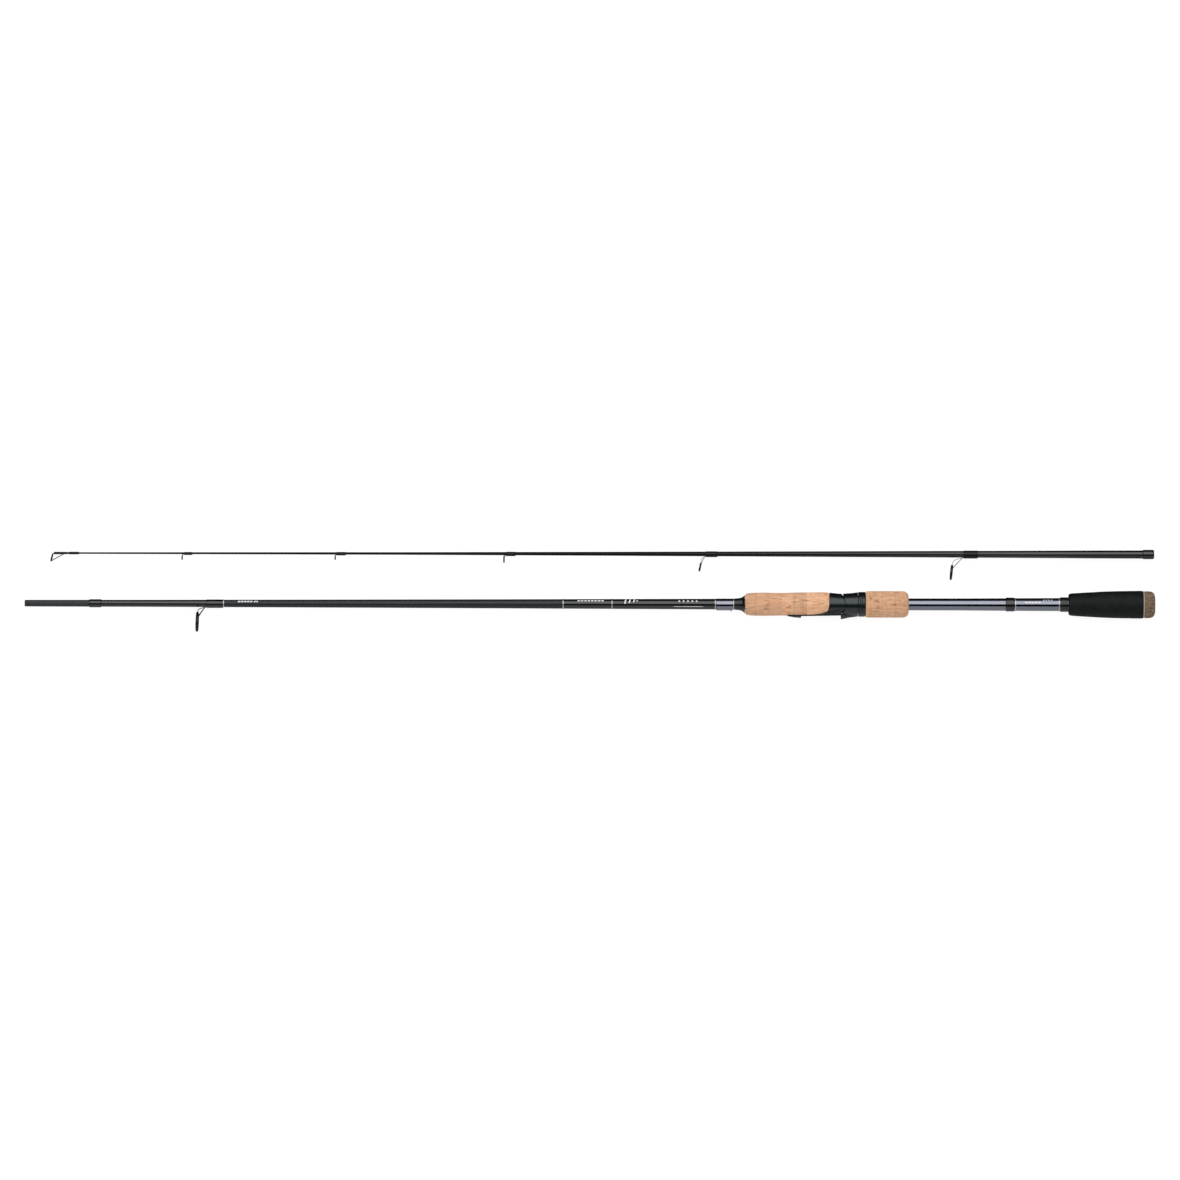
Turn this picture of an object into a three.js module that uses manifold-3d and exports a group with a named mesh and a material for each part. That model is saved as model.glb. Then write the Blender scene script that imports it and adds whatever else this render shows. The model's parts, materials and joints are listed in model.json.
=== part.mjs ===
// A two-piece spinning rod, taken apart, with its two sections lying side by side on their guides.
// Millimetres, +Z up, +X towards the butt. Each section is drawn in its own frame: s runs along its
// axis from the tip of the male ferrule, and every guide hangs towards -Y. The reel seat holds its
// fixed hood, and a lock nut on its threaded barrel drives the moving hood along a keyway.
import * as THREE from "three";
import { mergeVertices } from "three/addons/utils/BufferGeometryUtils.js";
import Module from "manifold-3d";

const wasm = await Module();
wasm.setup();

// ---- driving dimensions ----

const GAP = 0.06; // between two fixed pieces, one over the other
const RUNNING_GAP = 0.22; // between the barrel and the pieces that move on it
const THIN_SIDES = 16; // sides of a round piece as thin as the blank
const GRIP_SIDES = 28;
const SEAT_SIDES = 36;
const WIRE_SIDES = 6;

const SECTION_SPACING = 48.5; // between the axes of the two sections
const BUTT_END = 1092.4;
const TIP_END = 1091.6;

// Outlines are [s, radius].
const BUTT_BLANK = [
  [4.75, 3.2],
  [62, 3.3],
  [110, 3.35],
  [285, 3.85],
  [459, 4.38],
  [664, 5.12],
  [850, 5.72],
  [905, 5.78],
  [990, 6.25],
  [1078, 6.4],
];
const BUTT_BORE = [
  [4.75, 2.45],
  [664, 4.3],
  [1078, 5.5],
];
const TIP_BLANK = [
  [30.3, 0.75],
  [170, 0.97],
  [363, 1.25],
  [556, 1.87],
  [749, 2.6],
  [943, 3.4],
  [1039, 3.84],
  [TIP_END, 3.94],
];
const SOCKET_BOTTOM = 1028;
const TIP_BORE = [
  [300, 0.4],
  [749, 1.8],
  [SOCKET_BOTTOM, 3.24],
  [TIP_END, 3.38],
];
const FERRULE_STOP = { from: 62.2, to: 74.3, radius: 3.93 };
const FERRULE_END = { from: 1080.4, to: 1091.2, radius: 4.55 };
const HANDLE_WRAP = { from: 948, to: 956.7, radius: 6.7 };
const GRIP_CHECK = { from: 1000.7, to: 1008.4, radius: 7.05 };
const KEEPER_WRAP = { from: 668.4, to: 684.7, radius: 5.5 };
const TIP_WRAP = { from: 41.9, to: 52.6, radius: 1.3 };
const TRIM_RINGS = [192.3, 520.5, 567.7, 667.5, 685.2, 957.5, 999.7];
const TRIM_WIDTH = 0.9;
const TRIM_HEIGHT = 0.3;

// Guides: the ring's place along the rod, the depth of its centre below the axis, the outer radius
// and the width of its hoop, the hoop's wall, the insert's bore, the lean of the ring's top towards
// the butt in radians, and the thread wrap over the foot.
const STRIPPER = {
  ring: 166.8,
  depth: 17.8,
  radius: 9.5,
  width: 2.4,
  wall: 1.0,
  bore: 7.0,
  lean: 0.035,
  exit: 174,
  wrap: [175.5, 191.8],
  foot: 2.4,
  leg: 0.6,
};
const SMALL_HOOP = { radius: 2.2, width: 0.9, wall: 0.4, bore: 1.3, lean: 0 };
const GUIDES = [
  { ...SMALL_HOOP, ring: 152, depth: 4.4, exit: 152.6, wrap: [153.5, 162.1] },
  { ...SMALL_HOOP, ring: 300, depth: 4.3, exit: 300.4, wrap: [301.2, 310.6] },
  {
    ...{ ring: 463.2, depth: 5.6, radius: 3.4, width: 1.1, wall: 0.5, bore: 2.1, lean: 0 },
    ...{ exit: 464.2, wrap: [465, 474.5] },
  },
  {
    ...{ ring: 652.8, depth: 12.7, radius: 4.3, width: 1.5, wall: 0.5, bore: 2.98, lean: 0.2 },
    ...{ exit: 657.2, wrap: [658, 669.7] },
  },
  {
    ...{ ring: 895.7, depth: 17.6, radius: 7.3, width: 2.0, wall: 0.8, bore: 5.2, lean: 0.1 },
    ...{ exit: 906.4, wrap: [907.3, 921.3] },
  },
];
const FOOT_THICKNESS = 0.45;
const WRAP_COVER = 0.25; // thread over the blank, and over the foot
const TIP_TOP = { ring: 26, depth: 4.4, radius: 3.9, width: 1.1, wall: 0.55, bore: 2.4, lean: 0.24 };
const TIP_TOP_TUBE = 1.25; // radius

// Handle.
const CHECK = { from: 686, to: 696 };
const FORE_GRIP_FRONT = 696.3;
const FORE_GRIP_REAR = 777.4;
const SEAT_FRONT = 704;
const SEAT_REAR = 850;
const SEAT_BORE = 7.2;
const CORE_RADIUS = 8.4; // of the seat where the fore grip covers it
const BARREL_FRONT = 789.7;
const BARREL_RADIUS = 8.75;
const BED_DEPTH = 8.8; // of the reel foot's bed below the axis
const BED_FRONT = 750.5; // the fixed hood's mouth
const POCKET_FRONT = 738;
const HOOD_FRONT = 788.7;
const HOOD_REAR = 805.3;
const NUT_FRONT = 805.6;
const COLLAR_REAR = 812.6;
const NUT_REAR = 851;
const NUT_CORK_FULL = 818; // where the nut's cork reaches its full radius
const NUT_CORK_RADIUS = 12.85;
const NUT_CORK_REAR = 854.2;
const KEY_WIDTH = 3;
const KEY_DEPTH = 0.8;
const EVA_FRONT = 1008.7;
const EVA_REAR = 1080.9;
const EVA_RADIUS = 13.45;
const CAP_FRONT = 1082;

// ---- materials ----

const paint = (color, roughness, metalness = 0) =>
  new THREE.MeshStandardMaterial({ color, roughness, metalness });
const MATERIALS = {
  blank: paint(0x2a2e32, 0.25),
  thread: paint(0x0c0d10, 0.3),
  violet: paint(0x8f92a8, 0.35, 0.5),
  silver: paint(0xc9ccd2, 0.3, 0.9),
  frame: paint(0x15171a, 0.35, 0.7),
  ceramic: paint(0x303338, 0.15),
  cork: paint(0xd3a684, 0.85),
  seat: paint(0x1c2023, 0.45),
  foam: paint(0x1d2422, 0.9),
  rubberCork: paint(0x715f4d, 0.9),
  cream: paint(0xb9ae93, 0.6),
  bush: paint(0x9a8f78, 0.9),
};

// ---- solids ----

function solid(geometry) {
  const bare = geometry.clone();
  bare.deleteAttribute("normal");
  bare.deleteAttribute("uv");
  const merged = mergeVertices(bare, 1e-4);
  const mesh = new wasm.Mesh({
    numProp: 3,
    vertProperties: new Float32Array(merged.attributes.position.array),
    triVerts: new Uint32Array(merged.index.array),
  });
  return new wasm.Manifold(mesh);
}

function union(first, ...others) {
  return others.reduce((sum, next) => sum.add(next), first);
}

// A closed outline of [s, radius] points turned about the rod's axis, or about a line beside it.
function turned(outline, sides, depth = 0) {
  const points = outline.map(([s, radius]) => new THREE.Vector2(radius, s));
  const lathe = new THREE.LatheGeometry(points, sides).rotateZ(-Math.PI / 2);
  return solid(lathe.translate(0, -depth, 0));
}

const bar = (outline, sides, depth = 0) =>
  turned([[outline[0][0], 0], ...outline, [outline[outline.length - 1][0], 0]], sides, depth);

const tube = (outer, inner, sides) => turned([...outer, ...[...inner].reverse(), outer[0]], sides);

const grown = (outline, by) => outline.map(([s, radius]) => [s, radius + by]);

function radiusAt(outline, s) {
  const next = outline.findIndex(([place]) => place >= s);
  if (next <= 0) return outline[next === 0 ? 0 : outline.length - 1][1];
  const [before, after] = [outline[next - 1], outline[next]];
  const part = (s - before[0]) / (after[0] - before[0]);
  return before[1] + part * (after[1] - before[1]);
}

function box(from, to, top, bottom, halfWidth) {
  const block = new THREE.BoxGeometry(to - from, top - bottom, 2 * halfWidth);
  return solid(block.translate((from + to) / 2, (top + bottom) / 2, 0));
}

// An outline in the X-Y plane, extruded to both sides of it.
function sideways(points, halfWidth) {
  const shape = new THREE.Shape(points.map(([x, y]) => new THREE.Vector2(x, y)));
  const options = { depth: 2 * halfWidth, bevelEnabled: false };
  return solid(new THREE.ExtrudeGeometry(shape, options).translate(0, 0, -halfWidth));
}

// A half outline of [s, half width], mirrored and extruded from one depth below the axis to another.
function downwards(half, fromDepth, toDepth) {
  const mirrored = [...half].reverse().map(([s, width]) => [s, -width]);
  const shape = new THREE.Shape([...half, ...mirrored].map(([s, z]) => new THREE.Vector2(s, z)));
  const options = { depth: toDepth - fromDepth, bevelEnabled: false };
  const block = new THREE.ExtrudeGeometry(shape, options).rotateX(Math.PI / 2);
  return solid(block.translate(0, -fromDepth, 0));
}

function wire(points, radius, steps = 3) {
  const section = new THREE.Shape();
  for (let i = 0; i < WIRE_SIDES; i += 1) {
    const angle = (2 * Math.PI * i) / WIRE_SIDES;
    const [x, y] = [radius * Math.cos(angle), radius * Math.sin(angle)];
    if (i === 0) section.moveTo(x, y);
    else section.lineTo(x, y);
  }
  const path = new THREE.CatmullRomCurve3(points.map((point) => new THREE.Vector3(...point)));
  return solid(new THREE.ExtrudeGeometry(section, { steps, extrudePath: path, bevelEnabled: false }));
}

function node(name, made, material) {
  const { vertProperties, triVerts } = made.getMesh();
  const geometry = new THREE.BufferGeometry();
  geometry.setAttribute("position", new THREE.BufferAttribute(vertProperties, 3));
  geometry.setIndex(new THREE.BufferAttribute(triVerts, 1));
  geometry.computeVertexNormals();
  const mesh = new THREE.Mesh(geometry, material);
  mesh.name = name;
  return mesh;
}

// ---- windings and rings on a blank ----

function winding(blank, { from, to, radius }, sides = THIN_SIDES) {
  const fillet = Math.min(1, (to - from) / 4);
  const low = radius - 0.2;
  const outer = [[from, low], [from + fillet, radius], [to - fillet, radius], [to, low]];
  const inner = [from, to].map((s) => [s, radiusAt(blank, s) + GAP]);
  return tube(outer, inner, sides);
}

function trimRing(middle) {
  const [from, to] = [middle - TRIM_WIDTH / 2, middle + TRIM_WIDTH / 2];
  const radius = radiusAt(BUTT_BLANK, middle) + TRIM_HEIGHT;
  const inner = [from, to].map((s) => [s, radiusAt(BUTT_BLANK, s) + GAP]);
  return tube([[from, radius], [to, radius]], inner, THIN_SIDES);
}

// The thread over a guide's foot is fuller on the foot's side, so its axis lies a little lower.
function footWrap(blank, guide, foot) {
  const [from, to] = guide.wrap;
  const blankRadius = radiusAt(blank, to);
  const below = FOOT_THICKNESS + 2 * GAP + WRAP_COVER;
  const radius = blankRadius + (WRAP_COVER + below) / 2;
  const outline = [[from, radius - 0.1], [from + 1, radius], [to - 1, radius], [to, radius - 0.1]];
  const thread = bar(outline, THIN_SIDES, (below - WRAP_COVER) / 2);
  const around = [from - 1, to + 1].map((s) => [s, radiusAt(blank, s) + GAP]);
  return thread.subtract(bar(around, THIN_SIDES)).subtract(foot);
}

// ---- guides ----

function footBlock(blank, guide, spare) {
  const [from, to] = guide.wrap;
  const top = -radiusAt(blank, to) - GAP;
  const halfWidth = (guide.foot ?? 1) / 2 + spare;
  const bottom = top - FOOT_THICKNESS - spare;
  return box(guide.exit - spare, from + 0.85 * (to - from) + spare, top + spare, bottom, halfWidth);
}

function leant({ ring, depth, lean }, made) {
  const turnedBack = made.translate([-ring, depth, 0]).rotate([0, 0, THREE.MathUtils.radToDeg(-lean)]);
  return turnedBack.translate([ring, -depth, 0]);
}

// Two legs run from the foot to the sides of the hoop and one to its top.
function legs(blank, guide) {
  const thickness = guide.leg ?? 0.35;
  const footDepth = radiusAt(blank, guide.exit) + GAP + FOOT_THICKNESS / 2 + 0.05;
  const start = guide.exit + 0.1;
  const mid = (guide.exit + guide.ring) / 2;
  const grip = guide.radius - guide.wall / 2;
  const hoopTop = guide.depth - grip * Math.cos(guide.lean);
  const leanAt = (height) => height * grip * Math.sin(guide.lean);
  const sideLeg = (side) => {
    const points = [
      [start, -footDepth, side * 0.3],
      [mid + 0.2, -(0.45 * footDepth + 0.55 * hoopTop), side * 0.35 * grip],
      [guide.ring + 0.2 + leanAt(0.35), -(guide.depth - 0.35 * grip), side * grip * 0.94],
    ];
    return wire(points, thickness);
  };
  const points = [
    [start, -footDepth, 0],
    [mid, -(0.4 * footDepth + 0.6 * hoopTop), 0],
    [guide.ring + leanAt(1), -hoopTop, 0],
  ];
  return union(sideLeg(1), sideLeg(-1), wire(points, thickness));
}

function hoop(guide, outer, inner, halfWidth, sides) {
  const rim = [
    [guide.ring - halfWidth, outer],
    [guide.ring + halfWidth, outer],
    [guide.ring + halfWidth, inner],
    [guide.ring - halfWidth, inner],
    [guide.ring - halfWidth, outer],
  ];
  return leant(guide, turned(rim, sides, guide.depth));
}

function insert(guide, sides) {
  const outer = guide.radius - guide.wall - GAP;
  const half = guide.width / 2;
  const middle = (outer + guide.bore) / 2;
  const outline = [
    [guide.ring - half, outer],
    [guide.ring + half, outer],
    [guide.ring + half + 0.2, middle],
    [guide.ring + half / 2, guide.bore],
    [guide.ring - half / 2, guide.bore],
    [guide.ring - half - 0.2, middle],
    [guide.ring - half, outer],
  ];
  return leant(guide, turned(outline, sides, guide.depth));
}

function addGuide(section, name, blank, guide, sides) {
  const ring = hoop(guide, guide.radius, guide.radius - guide.wall, guide.width / 2, sides);
  const room = hoop(guide, guide.radius - guide.wall, 0.01, guide.width, sides);
  const bars = legs(blank, guide).subtract(room);
  const frame = union(ring, bars, footBlock(blank, guide, 0));
  section.add(node(name + "_frame", frame, MATERIALS.frame));
  section.add(node(name + "_ring", insert(guide, sides), MATERIALS.ceramic));
  const thread = footWrap(blank, guide, footBlock(blank, guide, GAP));
  section.add(node(name + "_wrap", thread, MATERIALS.thread));
}

// ---- reel seat ----

// The rear edge of the fore grip, seen from the side: upright above the axis, then sweeping
// forwards under the grip to the fixed hood.
const GRIP_EDGE = [
  [FORE_GRIP_REAR, 0],
  [776.7, -4],
  [774.5, -7],
  [770, -9.5],
  [763.5, -10.8],
  [BED_FRONT, -11.2],
];
// Half the width of the space for the reel's foot.
const FOOT_SPACE = [
  [BED_FRONT - 2, 4.2],
  [759, 4.3],
  [768, 6],
  [775, 8.1],
  [BARREL_FRONT + 1, 8.1],
];
const RAIL = 0.95;
const RAIL_DEPTH = 11.8; // at the fixed hood
const RAIL_REAR_DEPTH = 10.8;
// The front edge of the moving hood, seen from the side.
const HOOD_MOUTH = [
  [780, -9.2],
  [HOOD_FRONT + 1.5, -9.2],
  [792.3, -6],
  [793.6, 0],
  [792.3, 6],
  [789.9, 12],
  [780, 12],
];
const TONGUE_GAP = 0.5; // between the seat's rear edge and the moving hood

const fixedHood = (spare = 0) =>
  bar(grown([[733.5, 1.5], [738, 3.7], [744, 4.8], [749.4, 5.2], [BED_FRONT, 5]], spare), 24, 8);

function rearOfGripEdge(shift) {
  const edge = GRIP_EDGE.map(([s, y]) => [s + shift, y - shift / 2]);
  const below = [[BED_FRONT + shift, -20], [BARREL_FRONT, -20], [BARREL_FRONT, 20]];
  return sideways([...edge, ...below, [FORE_GRIP_REAR + shift, 20]].reverse(), 20);
}

function saddle(spare = 0) {
  const outline = FOOT_SPACE.map(([s, width]) => [s, width + RAIL + spare]);
  outline[0][0] = POCKET_FRONT;
  const low = [[POCKET_FRONT - 5, -RAIL_DEPTH - spare], [BARREL_FRONT + 5, -RAIL_REAR_DEPTH - spare]];
  const side = sideways([...low, [BARREL_FRONT + 5, 0], [POCKET_FRONT - 5, 0]], 20);
  return downwards(outline, 5, RAIL_DEPTH + 2).intersect(side);
}

function reelSeat() {
  const coreOutline = [[SEAT_FRONT, 7.9], [SEAT_FRONT + 3, CORE_RADIUS], [BARREL_FRONT, CORE_RADIUS]];
  const core = bar(coreOutline, SEAT_SIDES);
  const skirtOutline = [[BED_FRONT, 11.7], [FORE_GRIP_REAR, 11.3], [783, 10.7], [BARREL_FRONT, 10.1]];
  const skirt = bar(skirtOutline, SEAT_SIDES);
  const barrel = bar(
    [[BARREL_FRONT - 1, BARREL_RADIUS], [SEAT_REAR - 1, BARREL_RADIUS], [SEAT_REAR, BARREL_RADIUS - 0.7]],
    SEAT_SIDES,
  );
  const rails = saddle().intersect(bar([[POCKET_FRONT, 12.6], [BARREL_FRONT, 15]], SEAT_SIDES));
  const edge = HOOD_MOUTH.map(([s, y]) => [s - TONGUE_GAP, y]);
  const tongue = bar([[BARREL_FRONT - 2, 10.2], [795, 9.8]], SEAT_SIDES).intersect(sideways(edge, 20));
  const body = union(core, skirt.intersect(rearOfGripEdge(0.3)), barrel, tongue, rails, fixedHood());
  const bed = downwards(FOOT_SPACE, BED_DEPTH, 20).subtract(fixedHood());
  const pocket = bar([[POCKET_FRONT + 0.5, 1.5], [741, 3.2], [BED_FRONT + 0.5, 4.2]], 24, 8)
    .intersect(box(POCKET_FRONT, BED_FRONT + 1, -BED_DEPTH, -20, 10));
  const hollow = bar([[SEAT_FRONT - 1, SEAT_BORE], [SEAT_REAR + 1, SEAT_BORE]], SEAT_SIDES);
  const keyway = box(BARREL_FRONT, SEAT_REAR + 1, 20, BARREL_RADIUS - KEY_DEPTH, KEY_WIDTH / 2);
  return body.subtract(bed).subtract(pocket).subtract(hollow).subtract(keyway);
}

function foreGrip() {
  const outer = [
    [FORE_GRIP_FRONT, 9.3],
    [697.4, 10.2],
    [700, 10.8],
    [704.5, 11.15],
    [716, 11.25],
    [731, 10.95],
    [745, 11.4],
    [770, 11.65],
    [775.6, 11.6],
    [FORE_GRIP_REAR, 10.9],
  ];
  const inner = [
    [FORE_GRIP_FRONT, radiusAt(BUTT_BLANK, FORE_GRIP_FRONT) + GAP],
    [SEAT_FRONT - GAP, radiusAt(BUTT_BLANK, SEAT_FRONT) + GAP],
    [SEAT_FRONT - GAP, CORE_RADIUS + GAP],
    [FORE_GRIP_REAR, CORE_RADIUS + GAP],
  ];
  return tube(outer, inner, GRIP_SIDES)
    .subtract(rearOfGripEdge(0))
    .subtract(fixedHood(GAP * 2))
    .subtract(saddle(GAP * 2));
}

function movingHood() {
  const shellOutline = [[HOOD_FRONT, 10.15], [794, 10.45], [800, 10.9], [803.8, 11.45], [HOOD_REAR, 11.55]];
  const shell = bar(shellOutline, SEAT_SIDES);
  const scoop = bar([[HOOD_FRONT, 5.7], [HOOD_FRONT + 0.8, 5.9], [797, 4.3], [HOOD_REAR, 3.2]], 24, 8.6);
  const running = BARREL_RADIUS + RUNNING_GAP;
  const bore = bar([[780, running], [810, running]], SEAT_SIDES);
  const pocket = bar([[780, 4.6], [HOOD_FRONT, 4.6], [801, 2.6]], 24, 8.6);
  const key = box(794, HOOD_REAR, BARREL_RADIUS + 0.6, BARREL_RADIUS - KEY_DEPTH + 0.25, KEY_WIDTH / 2 - 0.25);
  const cut = union(shell, scoop).subtract(sideways(HOOD_MOUTH, 20)).subtract(bore).subtract(pocket);
  return cut.add(key);
}

function lockNut() {
  const outer = [
    [NUT_FRONT, 11.7],
    [806.4, 12],
    [COLLAR_REAR - 0.6, 12],
    [COLLAR_REAR, 11.7],
    [COLLAR_REAR, 10.4],
    [NUT_REAR, 10.4],
  ];
  const bore = BARREL_RADIUS + RUNNING_GAP;
  return tube(outer, [[NUT_FRONT, bore], [NUT_REAR, bore]], SEAT_SIDES);
}

function nutCork() {
  const outer = [
    [COLLAR_REAR + 0.3, 12.5],
    [814, 12.75],
    [NUT_CORK_FULL, NUT_CORK_RADIUS],
    [849, NUT_CORK_RADIUS],
    [851.4, 12.2],
    [853.4, 10.6],
    [NUT_CORK_REAR, 8.6],
  ];
  const lip = radiusAt(BUTT_BLANK, NUT_REAR) + 0.4;
  const inner = [
    [COLLAR_REAR + 0.3, 10.4 + GAP],
    [NUT_REAR + 0.3, 10.4 + GAP],
    [NUT_REAR + 0.3, lip],
    [NUT_CORK_REAR, lip],
  ];
  return tube(outer, inner, SEAT_SIDES);
}

function seatBush(from) {
  const outer = [from, from + 10].map((s) => [s, SEAT_BORE - GAP]);
  const inner = outer.map(([s]) => [s, radiusAt(BUTT_BLANK, s) + GAP]);
  return tube(outer, inner, GRIP_SIDES);
}

// ---- other handle pieces ----

function windingCheck() {
  const { from, to } = CHECK;
  const outer = [[from, 5.45], [690, 5.8], [693.4, 6.7], [695.2, 8.2], [to, 8.7]];
  const inner = [from, to].map((s) => [s, radiusAt(BUTT_BLANK, s) + GAP]);
  return tube(outer, inner, GRIP_SIDES);
}

function evaGrip() {
  const outer = [
    [EVA_FRONT, 9.6],
    [1009.6, 10.4],
    [1012, 10.9],
    [1018, 11.3],
    [1030, 12.05],
    [1042, 12.7],
    [1054, 13.1],
    [1076, EVA_RADIUS],
    [1079.6, 13.4],
    [EVA_REAR, 13],
  ];
  const inner = [EVA_FRONT, EVA_REAR].map((s) => [s, radiusAt(BUTT_BLANK, s) + GAP]);
  return tube(outer, inner, GRIP_SIDES);
}

function buttCap() {
  const outline = [
    [1062, 5.2],
    [CAP_FRONT, 5.2],
    [CAP_FRONT, 13.05],
    [1087.5, 12.95],
    [1089.6, 12.4],
    [1091.3, 10.9],
    [BUTT_END, 8.4],
  ];
  return bar(outline, GRIP_SIDES);
}

function ferrulePlug() {
  return bar([[0, 2.7], [0.6, 3.15], [4.6, 3.2], [4.6, 2.3], [14, 2.25]], THIN_SIDES);
}

// The keeper is a small wire loop that stands out under the blank, its feet under the winding.
function hookKeeper(radius) {
  const depth = radiusAt(BUTT_BLANK, KEEPER_WRAP.to) + GAP + 0.25;
  const points = [-1, 1].map((side) => [
    [676, -depth + 0.1, side * 1.2],
    [680.6, -depth + 0.05, side * 1.25],
    [682.4, -depth - 0.6, side * 1.3],
    [682.8, -depth - 1.4, side * 1.1],
    [682.8, -depth - 1.95, side * 0.5],
  ]);
  const loop = [...points[0], [682.8, -depth - 2.1, 0], ...points[1].reverse()];
  return wire(loop, radius, 14);
}

function keeperWrap() {
  const depth = 0.35;
  const { from, to, radius } = KEEPER_WRAP;
  const outline = [[from, radius - 0.1], [from + 1, radius + 0.2], [to - 1, radius + 0.2], [to, radius - 0.1]];
  const around = [from - 1, to + 1].map((s) => [s, radiusAt(BUTT_BLANK, s) + GAP]);
  return bar(outline, THIN_SIDES, depth).subtract(bar(around, THIN_SIDES)).subtract(hookKeeper(0.32));
}

// ---- the two sections ----

function buttSection() {
  const section = new THREE.Group();
  const add = (name, made, material) => section.add(node(name, made, material));
  add("butt_blank", tube(BUTT_BLANK, BUTT_BORE, THIN_SIDES), MATERIALS.blank);
  add("ferrule_plug", ferrulePlug(), MATERIALS.thread);
  add("ferrule_stop_wrap", winding(BUTT_BLANK, FERRULE_STOP), MATERIALS.thread);
  addGuide(section, "stripper", BUTT_BLANK, STRIPPER, 28);
  TRIM_RINGS.forEach((s, i) => add("trim_ring_" + (i + 1), trimRing(s), MATERIALS.silver));
  add("keeper_wrap", keeperWrap(), MATERIALS.violet);
  add("hook_keeper", hookKeeper(0.25), MATERIALS.frame);
  add("winding_check", windingCheck(), MATERIALS.seat);
  add("fore_grip", foreGrip(), MATERIALS.cork);
  add("reel_seat", reelSeat(), MATERIALS.seat);
  add("seat_bush_front", seatBush(708), MATERIALS.bush);
  add("seat_bush_middle", seatBush(772), MATERIALS.bush);
  add("seat_bush_rear", seatBush(836), MATERIALS.bush);
  add("moving_hood", movingHood(), MATERIALS.seat);
  add("lock_nut", lockNut(), MATERIALS.seat);
  add("nut_cork", nutCork(), MATERIALS.cork);
  add("handle_wrap", winding(BUTT_BLANK, HANDLE_WRAP), MATERIALS.thread);
  add("grip_check", winding(BUTT_BLANK, GRIP_CHECK), MATERIALS.seat);
  add("eva_grip", evaGrip(), MATERIALS.foam);
  const trim = tube([[1081, 12.9], [1081.9, 12.9]], [[1081, 5.3], [1081.9, 5.3]], GRIP_SIDES);
  add("cap_trim", trim, MATERIALS.cream);
  add("butt_cap", buttCap(), MATERIALS.rubberCork);
  return section;
}

function tipTop(section) {
  const { ring, depth, radius, wall, width } = TIP_TOP;
  const bore = radiusAt(TIP_BLANK, 42) + GAP;
  const socket = [[28, 1], [29, TIP_TOP_TUBE], [41.5, TIP_TOP_TUBE - 0.1], [41.5, bore], [30, bore]];
  const rim = hoop(TIP_TOP, radius, radius - wall, width / 2, 20);
  const room = hoop(TIP_TOP, radius - wall, 0.01, width, 20);
  const support = (side) =>
    wire([[37.5, -0.9, side * 0.5], [31, -4.4, side * 1.5], [25.6, -depth - 0.8 * radius, side * 1.7]], 0.4);
  const strut = wire([[30, -0.6, 0], [28.2, -0.8, 0], [ring + 0.6, -depth + radius - 0.2, 0]], 0.5);
  const frame = union(rim, bar(socket, THIN_SIDES), support(1).subtract(room), support(-1).subtract(room))
    .add(strut.subtract(room))
    .subtract(bar([[30, bore], [43, bore]], THIN_SIDES));
  section.add(node("tip_top_frame", frame, MATERIALS.frame));
  section.add(node("tip_top_ring", insert(TIP_TOP, 20), MATERIALS.ceramic));
}

function tipSection() {
  const section = new THREE.Group();
  const bore = [[TIP_BORE[0][0], 0], ...TIP_BORE].reverse();
  const shaft = turned([[TIP_BLANK[0][0], 0], ...TIP_BLANK, ...bore], THIN_SIDES);
  section.add(node("tip_blank", shaft, MATERIALS.blank));
  tipTop(section);
  section.add(node("tip_wrap", winding(TIP_BLANK, TIP_WRAP), MATERIALS.thread));
  GUIDES.forEach((guide, i) => addGuide(section, "guide_" + (i + 1), TIP_BLANK, guide, 20));
  section.add(node("ferrule_wrap", winding(TIP_BLANK, FERRULE_END), MATERIALS.thread));
  return section;
}

// ---- the rod as it lies ----

// A section rests on two round places, each [s, radius], and slopes down towards the narrower one.
function lie(section, near, far) {
  const pitch = Math.atan2(far[1] - near[1], far[0] - near[0]);
  section.rotation.y = -pitch;
  section.position.z = near[1] * Math.cos(pitch) - near[0] * Math.sin(pitch);
  return section;
}

const lastGuide = GUIDES[GUIDES.length - 1];
const butt = lie(buttSection(), [STRIPPER.ring, STRIPPER.radius], [NUT_CORK_FULL, NUT_CORK_RADIUS]);
const tip = lie(tipSection(), [TIP_TOP.ring, TIP_TOP.radius], [lastGuide.ring, lastGuide.radius]);
tip.position.y = SECTION_SPACING;

const rod = new THREE.Group();
rod.add(butt, tip);

// The origin is under the middle of the rod's box, on the surface that it lies on.
rod.updateMatrixWorld(true);
const bounds = new THREE.Box3().setFromObject(rod, true);
const middle = bounds.getCenter(new THREE.Vector3());
rod.position.set(-middle.x, -middle.y, -bounds.min.z);

export default rod;
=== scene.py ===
"""Looks of a two-piece spinning rod, taken apart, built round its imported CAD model.

The scene is in metres. The tables and shapes below are in millimetres in a section's own frame: s
along its axis, its guides towards -y, z up when it lies at rest. Under means towards -y.
"""

import itertools
import json
import math

import bmesh
import bpy
import numpy as np
from mathutils import Matrix, Vector


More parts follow.
